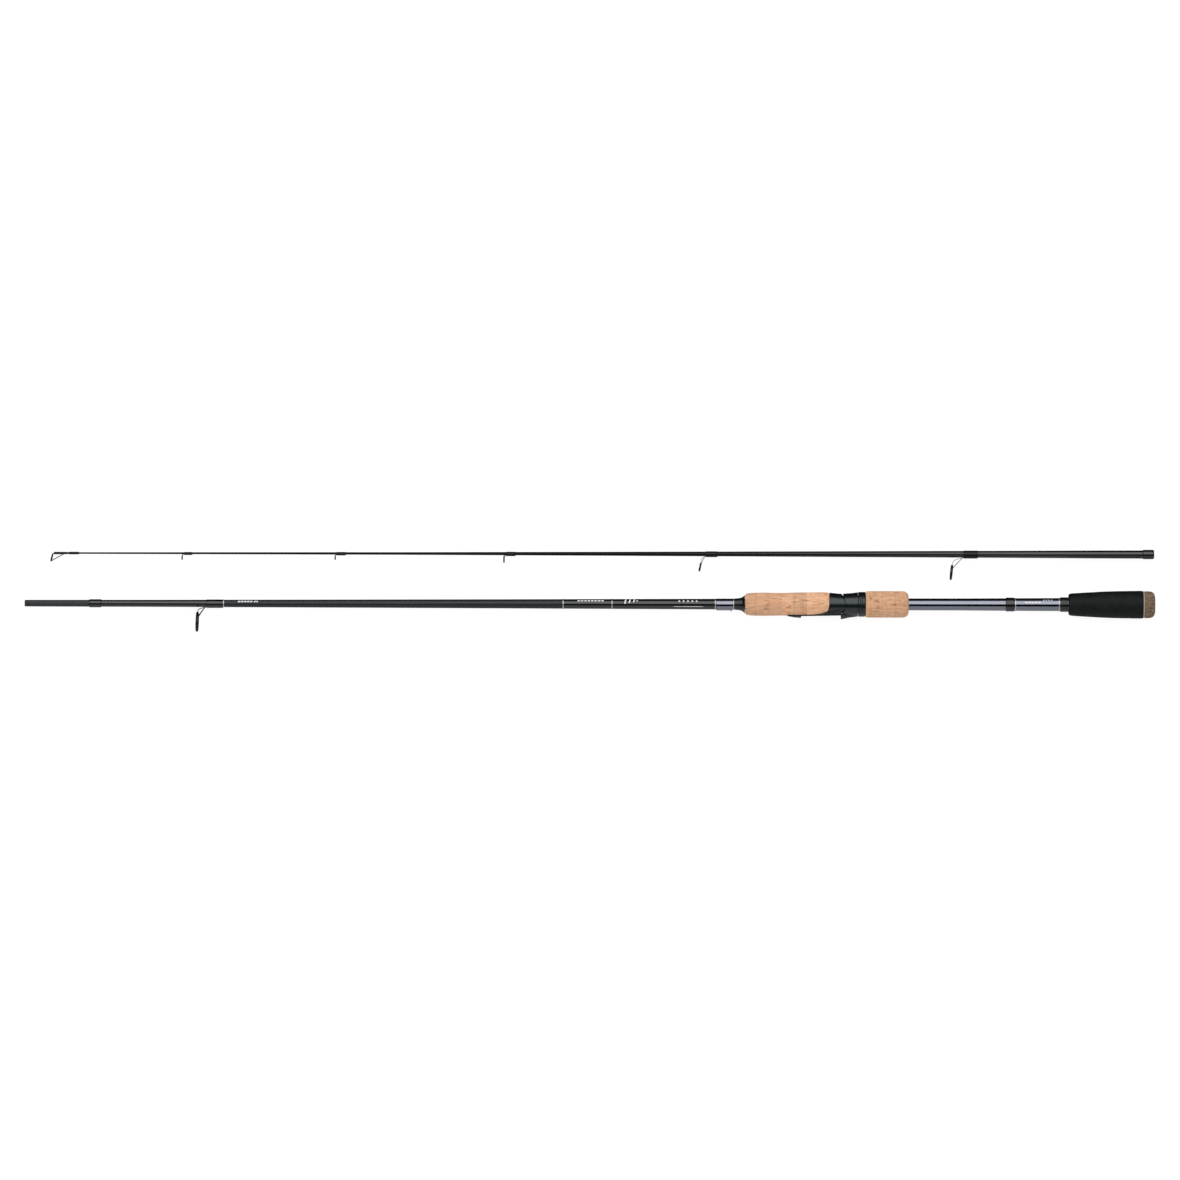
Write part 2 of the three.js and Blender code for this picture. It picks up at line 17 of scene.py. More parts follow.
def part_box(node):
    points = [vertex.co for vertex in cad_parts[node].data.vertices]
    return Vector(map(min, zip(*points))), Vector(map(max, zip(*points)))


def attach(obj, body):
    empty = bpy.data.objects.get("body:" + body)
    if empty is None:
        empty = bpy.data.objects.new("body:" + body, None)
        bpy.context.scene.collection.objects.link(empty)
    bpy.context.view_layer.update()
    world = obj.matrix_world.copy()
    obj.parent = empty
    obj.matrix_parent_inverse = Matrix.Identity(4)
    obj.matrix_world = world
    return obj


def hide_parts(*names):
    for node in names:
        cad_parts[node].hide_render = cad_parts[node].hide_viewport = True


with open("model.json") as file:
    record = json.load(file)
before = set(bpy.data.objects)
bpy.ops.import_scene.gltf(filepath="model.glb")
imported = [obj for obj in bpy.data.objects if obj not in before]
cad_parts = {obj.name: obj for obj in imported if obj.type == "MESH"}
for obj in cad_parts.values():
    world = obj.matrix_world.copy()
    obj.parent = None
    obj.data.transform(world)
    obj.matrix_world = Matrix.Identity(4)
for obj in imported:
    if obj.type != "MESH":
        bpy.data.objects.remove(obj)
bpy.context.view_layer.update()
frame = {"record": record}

MM = 0.001

# ---- driving dimensions, the CAD model's own but for what only the fine model has ----

BUTT_END = 1092.4
TIP_END = 1091.6
BUTT_BLANK = [
    (4.75, 3.2), (62, 3.3), (110, 3.35), (285, 3.85), (459, 4.38),
    (664, 5.12), (850, 5.72), (905, 5.78), (990, 6.25), (1078, 6.4),
]
BUTT_BORE = [(4.75, 2.45), (664, 4.3), (1078, 5.5)]
TIP_BLANK = [
    (30.3, 0.75), (170, 0.97), (363, 1.25), (556, 1.87),
    (749, 2.6), (943, 3.4), (1039, 3.84), (TIP_END, 3.94),
]
TIP_BORE = [(300, 0.4), (749, 1.8), (1028, 3.24), (TIP_END, 3.38)]

# Bands of thread or rubber round a blank: from, to, radius.
FERRULE_STOP = (62.2, 74.3, 3.93)
FERRULE_END = (1080.4, 1091.2, 4.55)
HANDLE_WRAP = (948, 956.7, 6.7)
GRIP_CHECK = (1000.7, 1008.4, 7.05)
KEEPER_WRAP = (668.4, 684.7, 5.5)
TIP_WRAP = (41.9, 52.6, 1.3)
TRIM_RINGS = [192.3, 520.5, 567.7, 667.5, 685.2, 957.5, 999.7]
TRIM_WIDTH = 0.9
TRIM_HEIGHT = 0.3

STRIPPER = dict(
    ring=166.8, depth=17.8, radius=9.5, width=2.4, wall=1.0, bore=7.0, lean=0.035,
    exit=174, wrap=(175.5, 191.8), foot=2.4, leg=0.6, voxel=0.14,
)
SMALL = dict(radius=2.2, width=0.9, wall=0.4, bore=1.3, lean=0, foot=1, leg=0.35, voxel=0.07)
GUIDES = [
    dict(SMALL, ring=152, depth=4.4, exit=152.6, wrap=(153.5, 162.1)),
    dict(SMALL, ring=300, depth=4.3, exit=300.4, wrap=(301.2, 310.6)),
    dict(SMALL, ring=463.2, depth=5.6, radius=3.4, width=1.1, wall=0.5, bore=2.1,
         exit=464.2, wrap=(465, 474.5), voxel=0.08),
    dict(SMALL, ring=652.8, depth=12.7, radius=4.3, width=1.5, wall=0.5, bore=2.98, lean=0.2,
         exit=657.2, wrap=(658, 669.7), voxel=0.09),
    dict(SMALL, ring=895.7, depth=17.6, radius=7.3, width=2, wall=0.8, bore=5.2, lean=0.1,
         exit=906.4, wrap=(907.3, 921.3), voxel=0.11),
]
TIP_TOP = dict(ring=26, depth=4.4, radius=3.9, width=1.1, wall=0.55, bore=2.4, lean=0.24)
FOOT_THICKNESS = 0.45
WRAP_COVER = 0.25
WRAP_RISE = 1.3  # how far a winding over a foot takes to rise at each end
GAP = 0.06

CORE_RADIUS = 8.4
BARREL_FRONT = 789.7
BARREL_RADIUS = 8.75
BARREL_REAR = 850
BED_DEPTH = 8.8
BED_FRONT = 750.5
FORE_GRIP_FRONT = 696.3
FORE_GRIP_REAR = 777.4
HOOD_FRONT = 788.7
HOOD_REAR = 805.3
NUT_FRONT = 805.6
COLLAR_REAR = 812.6
NUT_REAR = 851
NUT_CORK_REAR = 854.2
CAP_FRONT = 1082
THREAD_PITCH = 2.0
# The rear edge of the fore grip seen from the side, (s, y), from the axis to under it.
GRIP_EDGE = [
    (FORE_GRIP_REAR, 0), (776.7, -4), (774.5, -7), (770, -9.5), (763.5, -10.8), (BED_FRONT, -11.2),
]
# Half the width of the space for a reel's foot.
FOOT_SPACE = [(748.5, 4.2), (759, 4.3), (768, 6), (775, 8.1), (790.7, 8.1)]
# The front edge of the moving hood seen from the side, (s, y).
HOOD_MOUTH = [
    (780, -9.2), (HOOD_FRONT + 1.5, -9.2), (792.3, -6), (793.6, 0), (792.3, 6), (789.9, 12), (780, 12),
]
TONGUE_GAP = 0.5
TONGUE_LIP = 0.45  # how much of the tongue's edge is rounded off
POCKET_FRONT = 738
HOOD_AXIS_DEPTH = 8  # of the middle of the fixed hood, under the rod's axis
SCOOP_DEPTH = 8.6  # of the middle of the moving hood's scoop
RAIL_WIDTH = 0.95
RAIL_DEPTH = 11.8  # at the fixed hood
RAIL_REAR_DEPTH = 10.8
SEAT_BORE = 7.2
RUNNING_RADIUS = BARREL_RADIUS + 0.22  # of the bores that run on the barrel
KEY_DEPTH = 0.8
KEY_WIDTH = 3.1
WIDE = 20  # past the outside of any piece, for what only cuts
CORK_DISC = 12.25  # the length of one cork disc
CORK_SEAM = 731  # where one of the seams between two discs is

# ---- the frames of the two sections ----


def section_matrix(origin, pitch):
    cos, sin = math.cos(pitch), math.sin(pitch)
    x, y, z = origin
    return Matrix(((cos, 0, -sin, x), (0, 1, 0, y), (sin, 0, cos, z), (0, 0, 0, 1)))


def butt_matrix():
    mount = next(m for m in frame["record"]["mounts"] if m["name"] == "butt_end")
    axis = Vector(mount["axis"]).normalized()
    origin = Vector(mount["pos_m"]) - BUTT_END * MM * axis
    return section_matrix(origin, math.atan2(axis.z, axis.x))


def tip_matrix():
    low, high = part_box("tip_blank")
    (front, thin), (rear, thick) = TIP_BLANK[0], TIP_BLANK[-1]
    rise = high.z - low.z - (thin + thick) * MM
    pitch = math.asin(rise / ((rear - front) * MM))
    cos, sin = math.cos(pitch), math.sin(pitch)
    x = low.x - (front * cos - thin * sin) * MM
    z = low.z - (front * sin - thin * cos) * MM
    return section_matrix((x, (low.y + high.y) / 2, z), pitch)


BUTT = butt_matrix()
TIP = tip_matrix()

# ---- outlines ----


def radius_at(outline, s):
    return np.interp(s, [p[0] for p in outline], [p[1] for p in outline])


def softened(outline, fillet, closed=True):
    """The outline with each corner rounded by up to `fillet`."""
    points = [np.array(p[:2], float) for p in outline]
    made = []
    for i, corner in enumerate(points):
        if not closed and i in (0, len(points) - 1):
            made.append(corner)
            continue
        before, after = points[i - 1], points[(i + 1) % len(points)]
        back, ahead = before - corner, after - corner
        reach = min(fillet, 0.45 * np.linalg.norm(back), 0.45 * np.linalg.norm(ahead))
        start = corner + back / np.linalg.norm(back) * reach
        end = corner + ahead / np.linalg.norm(ahead) * reach
        for t in np.linspace(0, 1, 4):
            made.append((1 - t) ** 2 * start + 2 * t * (1 - t) * corner + t * t * end)
    return np.array(made)


def dense(outline, step, closed=True):
    """The outline with no stretch longer than `step`."""
    outline = np.asarray(outline, float)
    made = []
    ends = np.roll(outline, -1, 0) if closed else outline[1:]
    for start, end in zip(outline, ends):
        parts = max(1, math.ceil(np.linalg.norm(end - start) / step))
        made += [start + (end - start) * k / parts for k in range(parts)]
    if not closed:
        made.append(outline[-1])
    return np.array(made)


def smooth_line(points, steps):
    """Points on a Catmull-Rom line through the given ones, `steps` to a stretch."""
    p = np.array(points, float)
    p = np.vstack([2 * p[0] - p[1], p, 2 * p[-1] - p[-2]])
    made = []
    for a, b, c, d in zip(p, p[1:], p[2:], p[3:]):
        for t in np.arange(steps) / steps:
            made.append(
                0.5 * (2 * b + (c - a) * t + (2 * a - 5 * b + 4 * c - d) * t * t
                       + (3 * b - a - 3 * c + d) * t**3)
            )
    made.append(p[-2])
    return np.array(made)


# ---- shapes: a shape is its vertices and its faces ----


def tidy(verts, faces):
    """The shape without doubled corners in a face or vertices that no face uses."""
    faces = [list(dict.fromkeys(f)) for f in faces]
    faces = [f for f in faces if len(f) > 2]
    used = np.zeros(len(verts), bool)
    used[list(itertools.chain.from_iterable(faces))] = True
    place = np.cumsum(used) - 1
    return verts[used], [[int(place[i]) for i in f] for f in faces]


def joined(*shapes):
    verts, faces, count = [], [], 0
    for v, f in shapes:
        verts.append(v)
        faces += [[i + count for i in face] for face in f]
        count += len(v)
    return np.concatenate(verts), faces


def tube_of_rings(rings, closed):
    """A surface through rings of as many points each, joined round or ended in a point."""
    rows, sides = rings.shape[:2]
    index = np.arange(rows * sides).reshape(rows, sides)
    if closed:
        index = np.vstack([index, index[:1]])
    else:
        index[0], index[-1] = index[0, 0], index[-1, 0]
    a, b = index[:-1], index[1:]
    faces = np.stack([a, np.roll(a, -1, 1), np.roll(b, -1, 1), b], -1).reshape(-1, 4)
    return tidy(rings.reshape(-1, 3), faces.tolist())


def turned(outline, sides, depth=0.0, change=None):
    """An outline of (s, radius) turned about the axis, or about a line `depth` under it. It is
    closed from its last point to its first, or starts and ends on the axis."""
    outline = np.asarray(outline, float)
    angle = np.arange(sides) * math.tau / sides
    s = np.repeat(outline[:, :1], sides, 1)
    radius = np.repeat(outline[:, 1:2], sides, 1)
    if change:
        s, radius = change(s, np.broadcast_to(angle, s.shape), radius)
    under = np.broadcast_to(np.reshape(depth, (-1, 1)), s.shape)
    rings = np.stack([s, radius * np.cos(angle) - under, radius * np.sin(angle)], -1)
    return tube_of_rings(rings, closed=outline[0, 1] > 0)


def refined(outline, fillet, step, closed):
    if fillet:
        outline = softened(outline, fillet, closed)
    return dense(outline, step, closed) if step else outline


def bar(outline, sides, depth=0.0, fillet=0.0, change=None, step=None):
    ends = [(outline[0][0], 0.0), *outline, (outline[-1][0], 0.0)]
    return turned(refined(ends, fillet, step, False), sides, depth, change)


def tube(outer, inner, sides, fillet=0.0, change=None, step=None):
    return turned(refined([*outer, *reversed(inner)], fillet, step, True), sides, 0.0, change)


def extruded(points, low=-WIDE, high=WIDE, down=False):
    """A side-view outline of (s, y) drawn out along z, or with `down` one of (s, z) drawn out
    from `low` to `high` under the axis."""
    sheets = [[(s, -level, w) if down else (s, w, level) for s, w in points] for level in (low, high)]
    count = len(points)
    faces = [list(range(count)), list(range(2 * count - 1, count - 1, -1))]
    faces += [[i, (i + 1) % count, count + (i + 1) % count, count + i] for i in range(count)]
    return np.array(sheets, float).reshape(-1, 3), faces


def wire(points, radius, sides=12, steps=8, flat=1.0):
    """A round-ended wire through the points. `flat` is its thickness over its width."""
    path = smooth_line(points, steps)
    along = np.gradient(path, axis=0)
    along /= np.linalg.norm(along, axis=1)[:, None]
    across = np.array([0.0, 0.0, 1.0])
    angle = np.arange(sides) * math.tau / sides
    # Each ring's place in the path, which way its end bulges, and how far round the bulge it is.
    places = [(0, -1, turn) for turn in (90, 60, 30)]
    places += [(i, 0, 0) for i in range(len(path))]
    places += [(-1, 1, turn) for turn in (30, 60, 90)]
    rings = []
    for i, end, turn in places:
        tangent, a = along[i], math.radians(turn)
        across = across - tangent * (across @ tangent)
        across /= np.linalg.norm(across)
        centre = path[i] + end * tangent * radius * flat * math.sin(a)
        size = radius * math.cos(a)
        rings.append(centre + np.outer(np.cos(angle) * size, across)
                     + np.outer(np.sin(angle) * size * flat, np.cross(across, tangent)))
    return tube_of_rings(np.array(rings), closed=False)


def mesh_of(name, shape):
    mesh = bpy.data.meshes.new(name)
    mesh.from_pydata(shape[0].tolist(), [], shape[1])
    mesh.update()
    bm = bmesh.new()
    bm.from_mesh(mesh)
    bmesh.ops.recalc_face_normals(bm, faces=bm.faces)
    bm.to_mesh(mesh)
    bm.free()
    return mesh


def added(name, data):
    obj = bpy.data.objects.new(name, data)
    bpy.context.scene.collection.objects.link(obj)
    return obj


def worked(shape, modifiers):
    """The shape after Blender modifiers: a list of (type, settings)."""
    helpers = [added("work", mesh_of("work", shape))]
    for kind, settings in modifiers:
        modifier = helpers[0].modifiers.new(kind, kind)
        for key, value in settings.items():
            if key == "object":
                value = added("cutter", mesh_of("cutter", value))
                helpers.append(value)
            setattr(modifier, key, value)
    graph = bpy.context.evaluated_depsgraph_get()
    made = helpers[0].evaluated_get(graph).to_mesh()
    verts = np.zeros(len(made.vertices) * 3, np.float32)
    made.vertices.foreach_get("co", verts)
    faces = [list(p.vertices) for p in made.polygons]
    helpers[0].evaluated_get(graph).to_mesh_clear()
    for helper in helpers:
        mesh = helper.data
        bpy.data.objects.remove(helper)
        bpy.data.meshes.remove(mesh)
    return verts.reshape(-1, 3).astype(float), faces


def combined(shape, other, operation="DIFFERENCE"):
    settings = dict(operation=operation, solver="EXACT", use_self=True, object=other)
    return worked(shape, [("BOOLEAN", settings)])


def welded(shapes, voxel, cuts=None, smoothing=4):
    """One skin round all the shapes, less the cuts, with softened edges."""
    shape = joined(*shapes)
    if cuts:
        shape = combined(shape, joined(*cuts))
    return worked(shape, [("REMESH", dict(mode="VOXEL", voxel_size=voxel)),
                          ("SMOOTH", dict(factor=0.5, iterations=smoothing))])


# ---- random fields on the surface, the same in each run ----


def field(points, size, seed):
    """A smooth random number from -1 to 1 at each point. Its blobs are `size` long, one number or
    (s, y, z)."""
    p = points / np.array(size) + seed * 13.7
    cell = np.floor(p).astype(np.int64)
    part = p - cell
    part = part * part * (3 - 2 * part)
    total = np.zeros(points.shape[:-1])
    for corner in itertools.product((0, 1), repeat=3):
        c = cell + np.array(corner)
        mixed = (c[..., 0] * 73856093) ^ (c[..., 1] * 19349663) ^ (c[..., 2] * 83492791)
        mixed = (mixed ^ (mixed >> 13)) * 1274126177 & 0x7FFFFFFF
        value = ((mixed >> 8) & 0xFFFF) / 32767.5 - 1
        total += value * np.prod(np.where(corner, part, 1 - part), axis=-1)
    return total


def ease(value, low, high):
    t = np.clip((value - low) / (high - low), 0, 1)
    return t * t * (3 - 2 * t)


def surface_points(s, angle, radius):
    return np.stack([s, radius * np.cos(angle), radius * np.sin(angle)], -1)


def cork_pits(points):
    """How far each point lies in a lenticel or a pit, from 0 to 1."""
    streaks = ease(field(points, (2.6, 0.8, 0.8), 1), 0.42, 0.75)
    patches = ease(field(points, (9, 4, 4), 2), -0.1, 0.5)
    pits = ease(field(points, (0.6, 0.5, 0.5), 3), 0.5, 0.8)
    return np.clip(streaks * patches + 0.5 * pits, 0, 1)


def cork_relief(s, angle, radius, inner):
    """Sinks the pits and the seams between the discs into a turned cork surface."""
    points = surface_points(s, angle, radius)
    to_seam = np.abs((s - CORK_SEAM + CORK_DISC / 2) % CORK_DISC - CORK_DISC / 2)
    sunk = 0.16 * cork_pits(points) + 0.06 * np.exp(-((to_seam / 0.16) ** 2))
    sunk += 0.03 * field(points, 1.2, 4)
    return s, radius - np.where(radius > inner + 0.5, sunk + 0.03, 0)


# ---- materials ----


class Finish:
    """A material: the numbers of its shader, with helpers that add nodes to it."""

    def __init__(self, name, **sockets):
        self.material = bpy.data.materials.new(name)
        self.material.use_nodes = True
        self.tree = self.material.node_tree
        self.shader = self.tree.nodes["Principled BSDF"]
        for key, value in sockets.items():
            self.shader.inputs[key.replace("_", " ")].default_value = value
        self.place = self.tree.nodes.new("ShaderNodeTexCoord").outputs["Object"]

    def add(self, kind, inputs, output=0, **settings):
        node = self.tree.nodes.new("ShaderNode" + kind)
        for key, value in settings.items():
            setattr(node, key, value)
        for key, value in inputs.items():
            if isinstance(value, bpy.types.NodeSocket):
                self.tree.links.new(value, node.inputs[key])
            else:
                node.inputs[key].default_value = value
        return node.outputs[output]

    def to(self, socket, value):
        self.tree.links.new(value, self.shader.inputs[socket])

    def spread(self, size):
        """Object coordinates in units of `size` millimetres, one number or (s, y, z)."""
        scale = tuple(1 / (MM * length) for length in np.broadcast_to(size, 3).tolist())
        return self.add("VectorMath", {0: self.place, 1: scale}, operation="MULTIPLY")

    def noise(self, size, detail=2.0, roughness=0.5):
        inputs = {"Vector": self.spread(size), "Scale": 1.0, "Detail": detail, "Roughness": roughness}
        return self.add("TexNoise", inputs)

    def cells(self, size, output="Distance", feature="F1"):
        inputs = {"Vector": self.spread(size), "Scale": 1.0}
        return self.add("TexVoronoi", inputs, output, feature=feature)

    def flakes(self, size):
        """A random number for each cell."""
        return self.add("SeparateColor", {0: self.cells(size, "Color")})

    def maths(self, operation, a, b=0.0):
        return self.add("Math", {0: a, 1: b}, operation=operation)

    def mean(self, a, share_a, b, share_b):
        return self.maths("ADD", self.maths("MULTIPLY", a, share_a), self.maths("MULTIPLY", b, share_b))

    def ramp(self, value, stops):
        node = self.tree.nodes.new("ShaderNodeValToRGB")
        self.tree.links.new(value, node.inputs[0])
        elements = node.color_ramp.elements
        while len(elements) < len(stops):
            elements.new(0.5)
        for element, (position, colour) in zip(elements, stops):
            element.position = position
            element.color = colour if hasattr(colour, "__len__") else (colour,) * 3 + (1,)
        return node.outputs[0]

    def vary(self, socket, value, low, high, start=0.3, end=0.7):
        """Lets a socket run from low to high while the value runs from start to end."""
        self.to(socket, self.ramp(value, [(start, low), (end, high)]))

    def blend(self, part, a, b, mode="MIX"):
        inputs = {0: part, 6: a, 7: b}
        return self.add("Mix", inputs, 2, data_type="RGBA", blend_type=mode, clamp_result=True)

    def bump(self, height, depth):
        inputs = {"Height": height, "Distance": depth * MM, "Strength": 1.0}
        self.to("Normal", self.add("Bump", inputs))


def rgb(red, green, blue):
    return (red, green, blue, 1.0)


def grained(name, size, detail, dark, light, bump, rough=None, end=0.7, **sockets):
    """A finish whose colour, height and, with `rough`, roughness follow one grain of `size`."""
    paint = Finish(name, **sockets)
    grain = paint.noise(size, detail)
    paint.vary("Base Color", grain, rgb(*dark), rgb(*light), end=end)
    if rough:
        paint.vary("Roughness", grain, *rough)
    paint.bump(grain, bump)
    return paint


def gloss_black(name):
    return grained(name, (30, 0.35, 0.35), 3, (0.001, 0.0012, 0.0016), (0.004, 0.0048, 0.006), 0.004,
                   end=0.75, Roughness=0.3, Specular_IOR_Level=0.0, Coat_Weight=1.0,
                   Coat_Roughness=0.03, Coat_IOR=1.85)


def tip_gloss():
    """Black lacquer that gets thinner and darker towards the tip."""
    paint = gloss_black("tip_gloss")
    s = paint.add("SeparateXYZ", {0: paint.place})
    paint.to("Coat Weight", paint.add("MapRange", {0: s, 1: 600 * MM, 2: 980 * MM, 3: 0.16, 4: 1.0}))
    return paint


def charcoal():
    paint = Finish("blank_charcoal", Metallic=0.6, Coat_Weight=0.38, Coat_Roughness=0.14, Coat_IOR=1.5)
    tone = paint.flakes(0.12)
    dark, light = rgb(0.0125, 0.0165, 0.0195), rgb(0.0305, 0.0385, 0.0435)
    paint.vary("Base Color", tone, dark, light, 0.0, 1.0)
    paint.vary("Roughness", paint.noise((6, 2, 2)), 0.42, 0.52)
    paint.bump(tone, 0.004)
    return paint


def spigot():
    paint = Finish("blank_ground", Specular_IOR_Level=0.35)
    rings = paint.noise((0.12, 30, 30), detail=3)
    mottle = paint.noise((2.5, 1.2, 1.2), detail=3)
    tone = paint.mean(rings, 0.5, mottle, 0.5)
    paint.vary("Base Color", tone, rgb(0.011, 0.0135, 0.015), rgb(0.035, 0.041, 0.044))
    paint.vary("Roughness", mottle, 0.42, 0.6)
    paint.bump(rings, 0.02)
    return paint


def violet_paint():
    paint = Finish("blank_violet", Metallic=1.0, Roughness=0.13, Coat_Weight=1.0, Coat_Roughness=0.02)
    tone = paint.mean(paint.flakes(0.09), 0.6, paint.noise((25, 3, 3)), 0.4)
    paint.vary("Base Color", tone, rgb(0.24, 0.26, 0.32), rgb(0.31, 0.325, 0.385), 0.1, 0.9)
    paint.bump(tone, 0.001)
    return paint


def thread(name, dark, light, metallic, roughness, bump, coat=1.0):
    """Wound thread under a clear coat."""
    paint = Finish(name, Metallic=metallic, Roughness=roughness, Specular_IOR_Level=0.1,
                   Coat_Weight=coat, Coat_Roughness=0.03, Coat_IOR=1.75)
    inputs = {"Vector": paint.spread(1), "Scale": 0.8, "Distortion": 0.6, "Detail": 2.0,
              "Detail Scale": 3.0}
    turns = paint.add("TexWave", inputs, "Fac", wave_type="BANDS", bands_direction="X")
    tone = paint.mean(turns, 0.6, paint.noise((1.5, 0.6, 0.6), detail=3), 0.4)
    paint.vary("Base Color", tone, rgb(*dark), rgb(*light), 0.15, 0.85)
    paint.bump(turns, bump)
    return paint


def cork(name, light, mixed, dark, cast):
    """Cork, with all its colours darker by `cast`."""
    light, mixed, dark = [rgb(*(cast * part for part in tone)) for tone in (light, mixed, dark)]
    paint = Finish(name, Specular_IOR_Level=0.25, Sheen_Weight=0.08, Sheen_Roughness=0.5)
    position = paint.add("SeparateXYZ", {0: paint.place})
    discs = paint.add("Math", {0: position, 1: 1 / (CORK_DISC * MM), 2: -CORK_SEAM / CORK_DISC},
                      operation="MULTIPLY_ADD")
    disc = paint.add("TexWhiteNoise", {"W": paint.maths("FLOOR", discs)}, "Value",
                     noise_dimensions="1D")
    seam = paint.maths("ABSOLUTE", paint.maths("SUBTRACT", paint.maths("FRACT", discs), 0.5))
    grain = paint.noise((7, 1.5, 1.5), detail=3)
    streaks = paint.noise((22, 0.9, 0.9), detail=1)
    broad = paint.noise((5, 9, 9), detail=2)
    fine = paint.noise((0.3, 0.25, 0.25), detail=3, roughness=0.7)
    base = paint.ramp(grain, [(0.34, dark), (0.44, mixed), (0.6, light)])
    base = paint.blend(paint.ramp(streaks, [(0.38, 0.45), (0.5, 0.0)]), base, dark)
    warm = paint.blend(paint.ramp(broad, [(0.4, 0.0), (0.7, 0.6)]), base,
                       rgb(light[0] * 1.05, light[1] * 0.84, light[2] * 0.76))
    shade = paint.ramp(disc, [(0.0, 0.82), (1.0, 1.04)])
    toned = paint.blend(1.0, warm, shade, "MULTIPLY")
    speck = paint.ramp(fine, [(0.3, 0.72), (0.52, 1.0)])
    toned = paint.blend(1.0, toned, speck, "MULTIPLY")
    glue = paint.ramp(seam, [(0.475, 0.0), (0.495, 0.6)])
    toned = paint.blend(glue, toned, rgb(0.3, 0.12, 0.06))
    pit = paint.add("Attribute", {}, "Fac", attribute_name="pit")
    deep = paint.maths("MULTIPLY", pit, paint.ramp(fine, [(0.25, 1.0), (0.75, 0.5)]))
    paint.to("Base Color", paint.blend(deep, toned, rgb(0.13, 0.058, 0.028)))
    paint.vary("Roughness", grain, 0.92, 0.74)
    height = paint.maths("ADD", fine, paint.maths("MULTIPLY", grain, 0.6))
    paint.bump(height, 0.06)
    return paint


def satin_black():
    paint = Finish("seat_satin", Coat_Weight=0.3, Coat_Roughness=0.15, Specular_IOR_Level=0.75,
                   Specular_Tint=rgb(0.84, 0.96, 1.0))
    grain = paint.cells(0.22)
    tone = paint.noise(0.5, detail=3)
    paint.vary("Base Color", tone, rgb(0.0015, 0.0025, 0.003), rgb(0.006, 0.0085, 0.0095), 0.35)
    paint.vary("Roughness", tone, 0.23, 0.31, 0.35)
    paint.bump(grain, 0.01)
    return paint


def foam():
    paint = Finish("foam", Specular_IOR_Level=0.2)
    cell = paint.cells(0.22)
    cloud = paint.noise((6, 5, 5), detail=3)
    tone = paint.mean(cell, 0.5, cloud, 0.7)
    dark, light = rgb(0.0015, 0.0035, 0.003), rgb(0.006, 0.0095, 0.009)
    paint.vary("Base Color", tone, dark, light, 0.35, 0.85)
    paint.vary("Roughness", cloud, 0.5, 0.62)
    paint.bump(cell, 0.05)
    return paint


def rubber_cork():
    paint = Finish("rubber_cork", Specular_IOR_Level=0.2)
    pick = paint.flakes((0.95, 0.85, 0.85))
    edges = paint.cells((0.95, 0.85, 0.85), "Distance", "DISTANCE_TO_EDGE")
    fine = paint.noise(0.25, detail=3)
    base = paint.ramp(pick, [(0.0, rgb(0.06, 0.038, 0.027)), (0.25, rgb(0.125, 0.083, 0.052)),
                             (0.5, rgb(0.185, 0.126, 0.08)), (0.75, rgb(0.245, 0.168, 0.105)),
                             (1.0, rgb(0.305, 0.212, 0.13))])
    base = paint.blend(1.0, base, paint.ramp(fine, [(0.3, 0.6), (0.65, 1.0)]), "MULTIPLY")
    gaps = paint.ramp(edges, [(0.0, 0.7), (0.12, 0.0)])
    paint.to("Base Color", paint.blend(gaps, base, rgb(0.05, 0.035, 0.028)))
    paint.vary("Roughness", fine, 0.95, 0.75)
    paint.bump(paint.maths("MINIMUM", edges, 0.25), 0.15)
    return paint


def plain(name, colour, roughness, grain=0.02, **sockets):
    """A moulded or sanded piece: a mottled colour, with fine grain."""
    paint = Finish(name, **sockets)
    tone = paint.noise((0.8, 0.6, 0.6), detail=4, roughness=0.6)
    dark, light = [rgb(*(share * part for part in colour)) for share in (0.72, 1.15)]
    paint.vary("Base Color", tone, dark, light)
    paint.vary("Roughness", tone, roughness + 0.06, roughness - 0.06)
    paint.bump(paint.noise(0.15, detail=2), grain)
    return paint


BLANK_GLOSS = gloss_black("blank_gloss")
TIP_GLOSS = tip_gloss()
BLANK_CHARCOAL = charcoal()
BLANK_GROUND = spigot()
BLANK_VIOLET = violet_paint()
BLANK_BORE = grained("blank_bore", (12, 0.3, 0.3), 3, (0.006, 0.006, 0.007), (0.025, 0.025, 0.027),
                     0.02, (0.5, 0.75), Specular_IOR_Level=0.3)
TIP_THREAD = thread("thread_tip", (0.0008, 0.0009, 0.001), (0.003, 0.0032, 0.004), 0.0, 0.4, 0.004, 0.3)
BLACK_THREAD = thread("thread_black", (0.0008, 0.0009, 0.001), (0.004, 0.0043, 0.005), 0.0, 0.4, 0.004)
VIOLET_THREAD = thread("thread_violet", (0.2, 0.205, 0.26), (0.33, 0.34, 0.41), 1.0, 0.16, 0.002)
SILVER = grained("silver_thread", (0.25, 0.5, 0.5), 2, (0.8, 0.81, 0.83), (0.97, 0.975, 0.98), 0.008,
                 (0.5, 0.38), end=0.6, Metallic=1.0, Coat_Weight=0.6, Coat_Roughness=0.05)
PLATED = grained("guide_plating", (1.2, 0.4, 0.4), 4, (0.012, 0.013, 0.015), (0.03, 0.032, 0.037), 0.01,
                 (0.24, 0.4), Metallic=0.9, Coat_Weight=0.4, Coat_Roughness=0.12)
CERAMIC = grained("guide_ceramic", 0.2, 3, (0.006, 0.0065, 0.008), (0.016, 0.017, 0.02),
                  0.002, Roughness=0.06, IOR=1.75)
CORK = cork("cork", (0.8, 0.49, 0.3), (0.69, 0.405, 0.24), (0.43, 0.225, 0.12), 0.88)
NUT_CORK = cork("nut_cork", (0.8, 0.49, 0.3), (0.69, 0.4, 0.235), (0.4, 0.21, 0.115), 0.77)
SATIN = satin_black()
FOAM = foam()
RUBBER_CORK = rubber_cork()
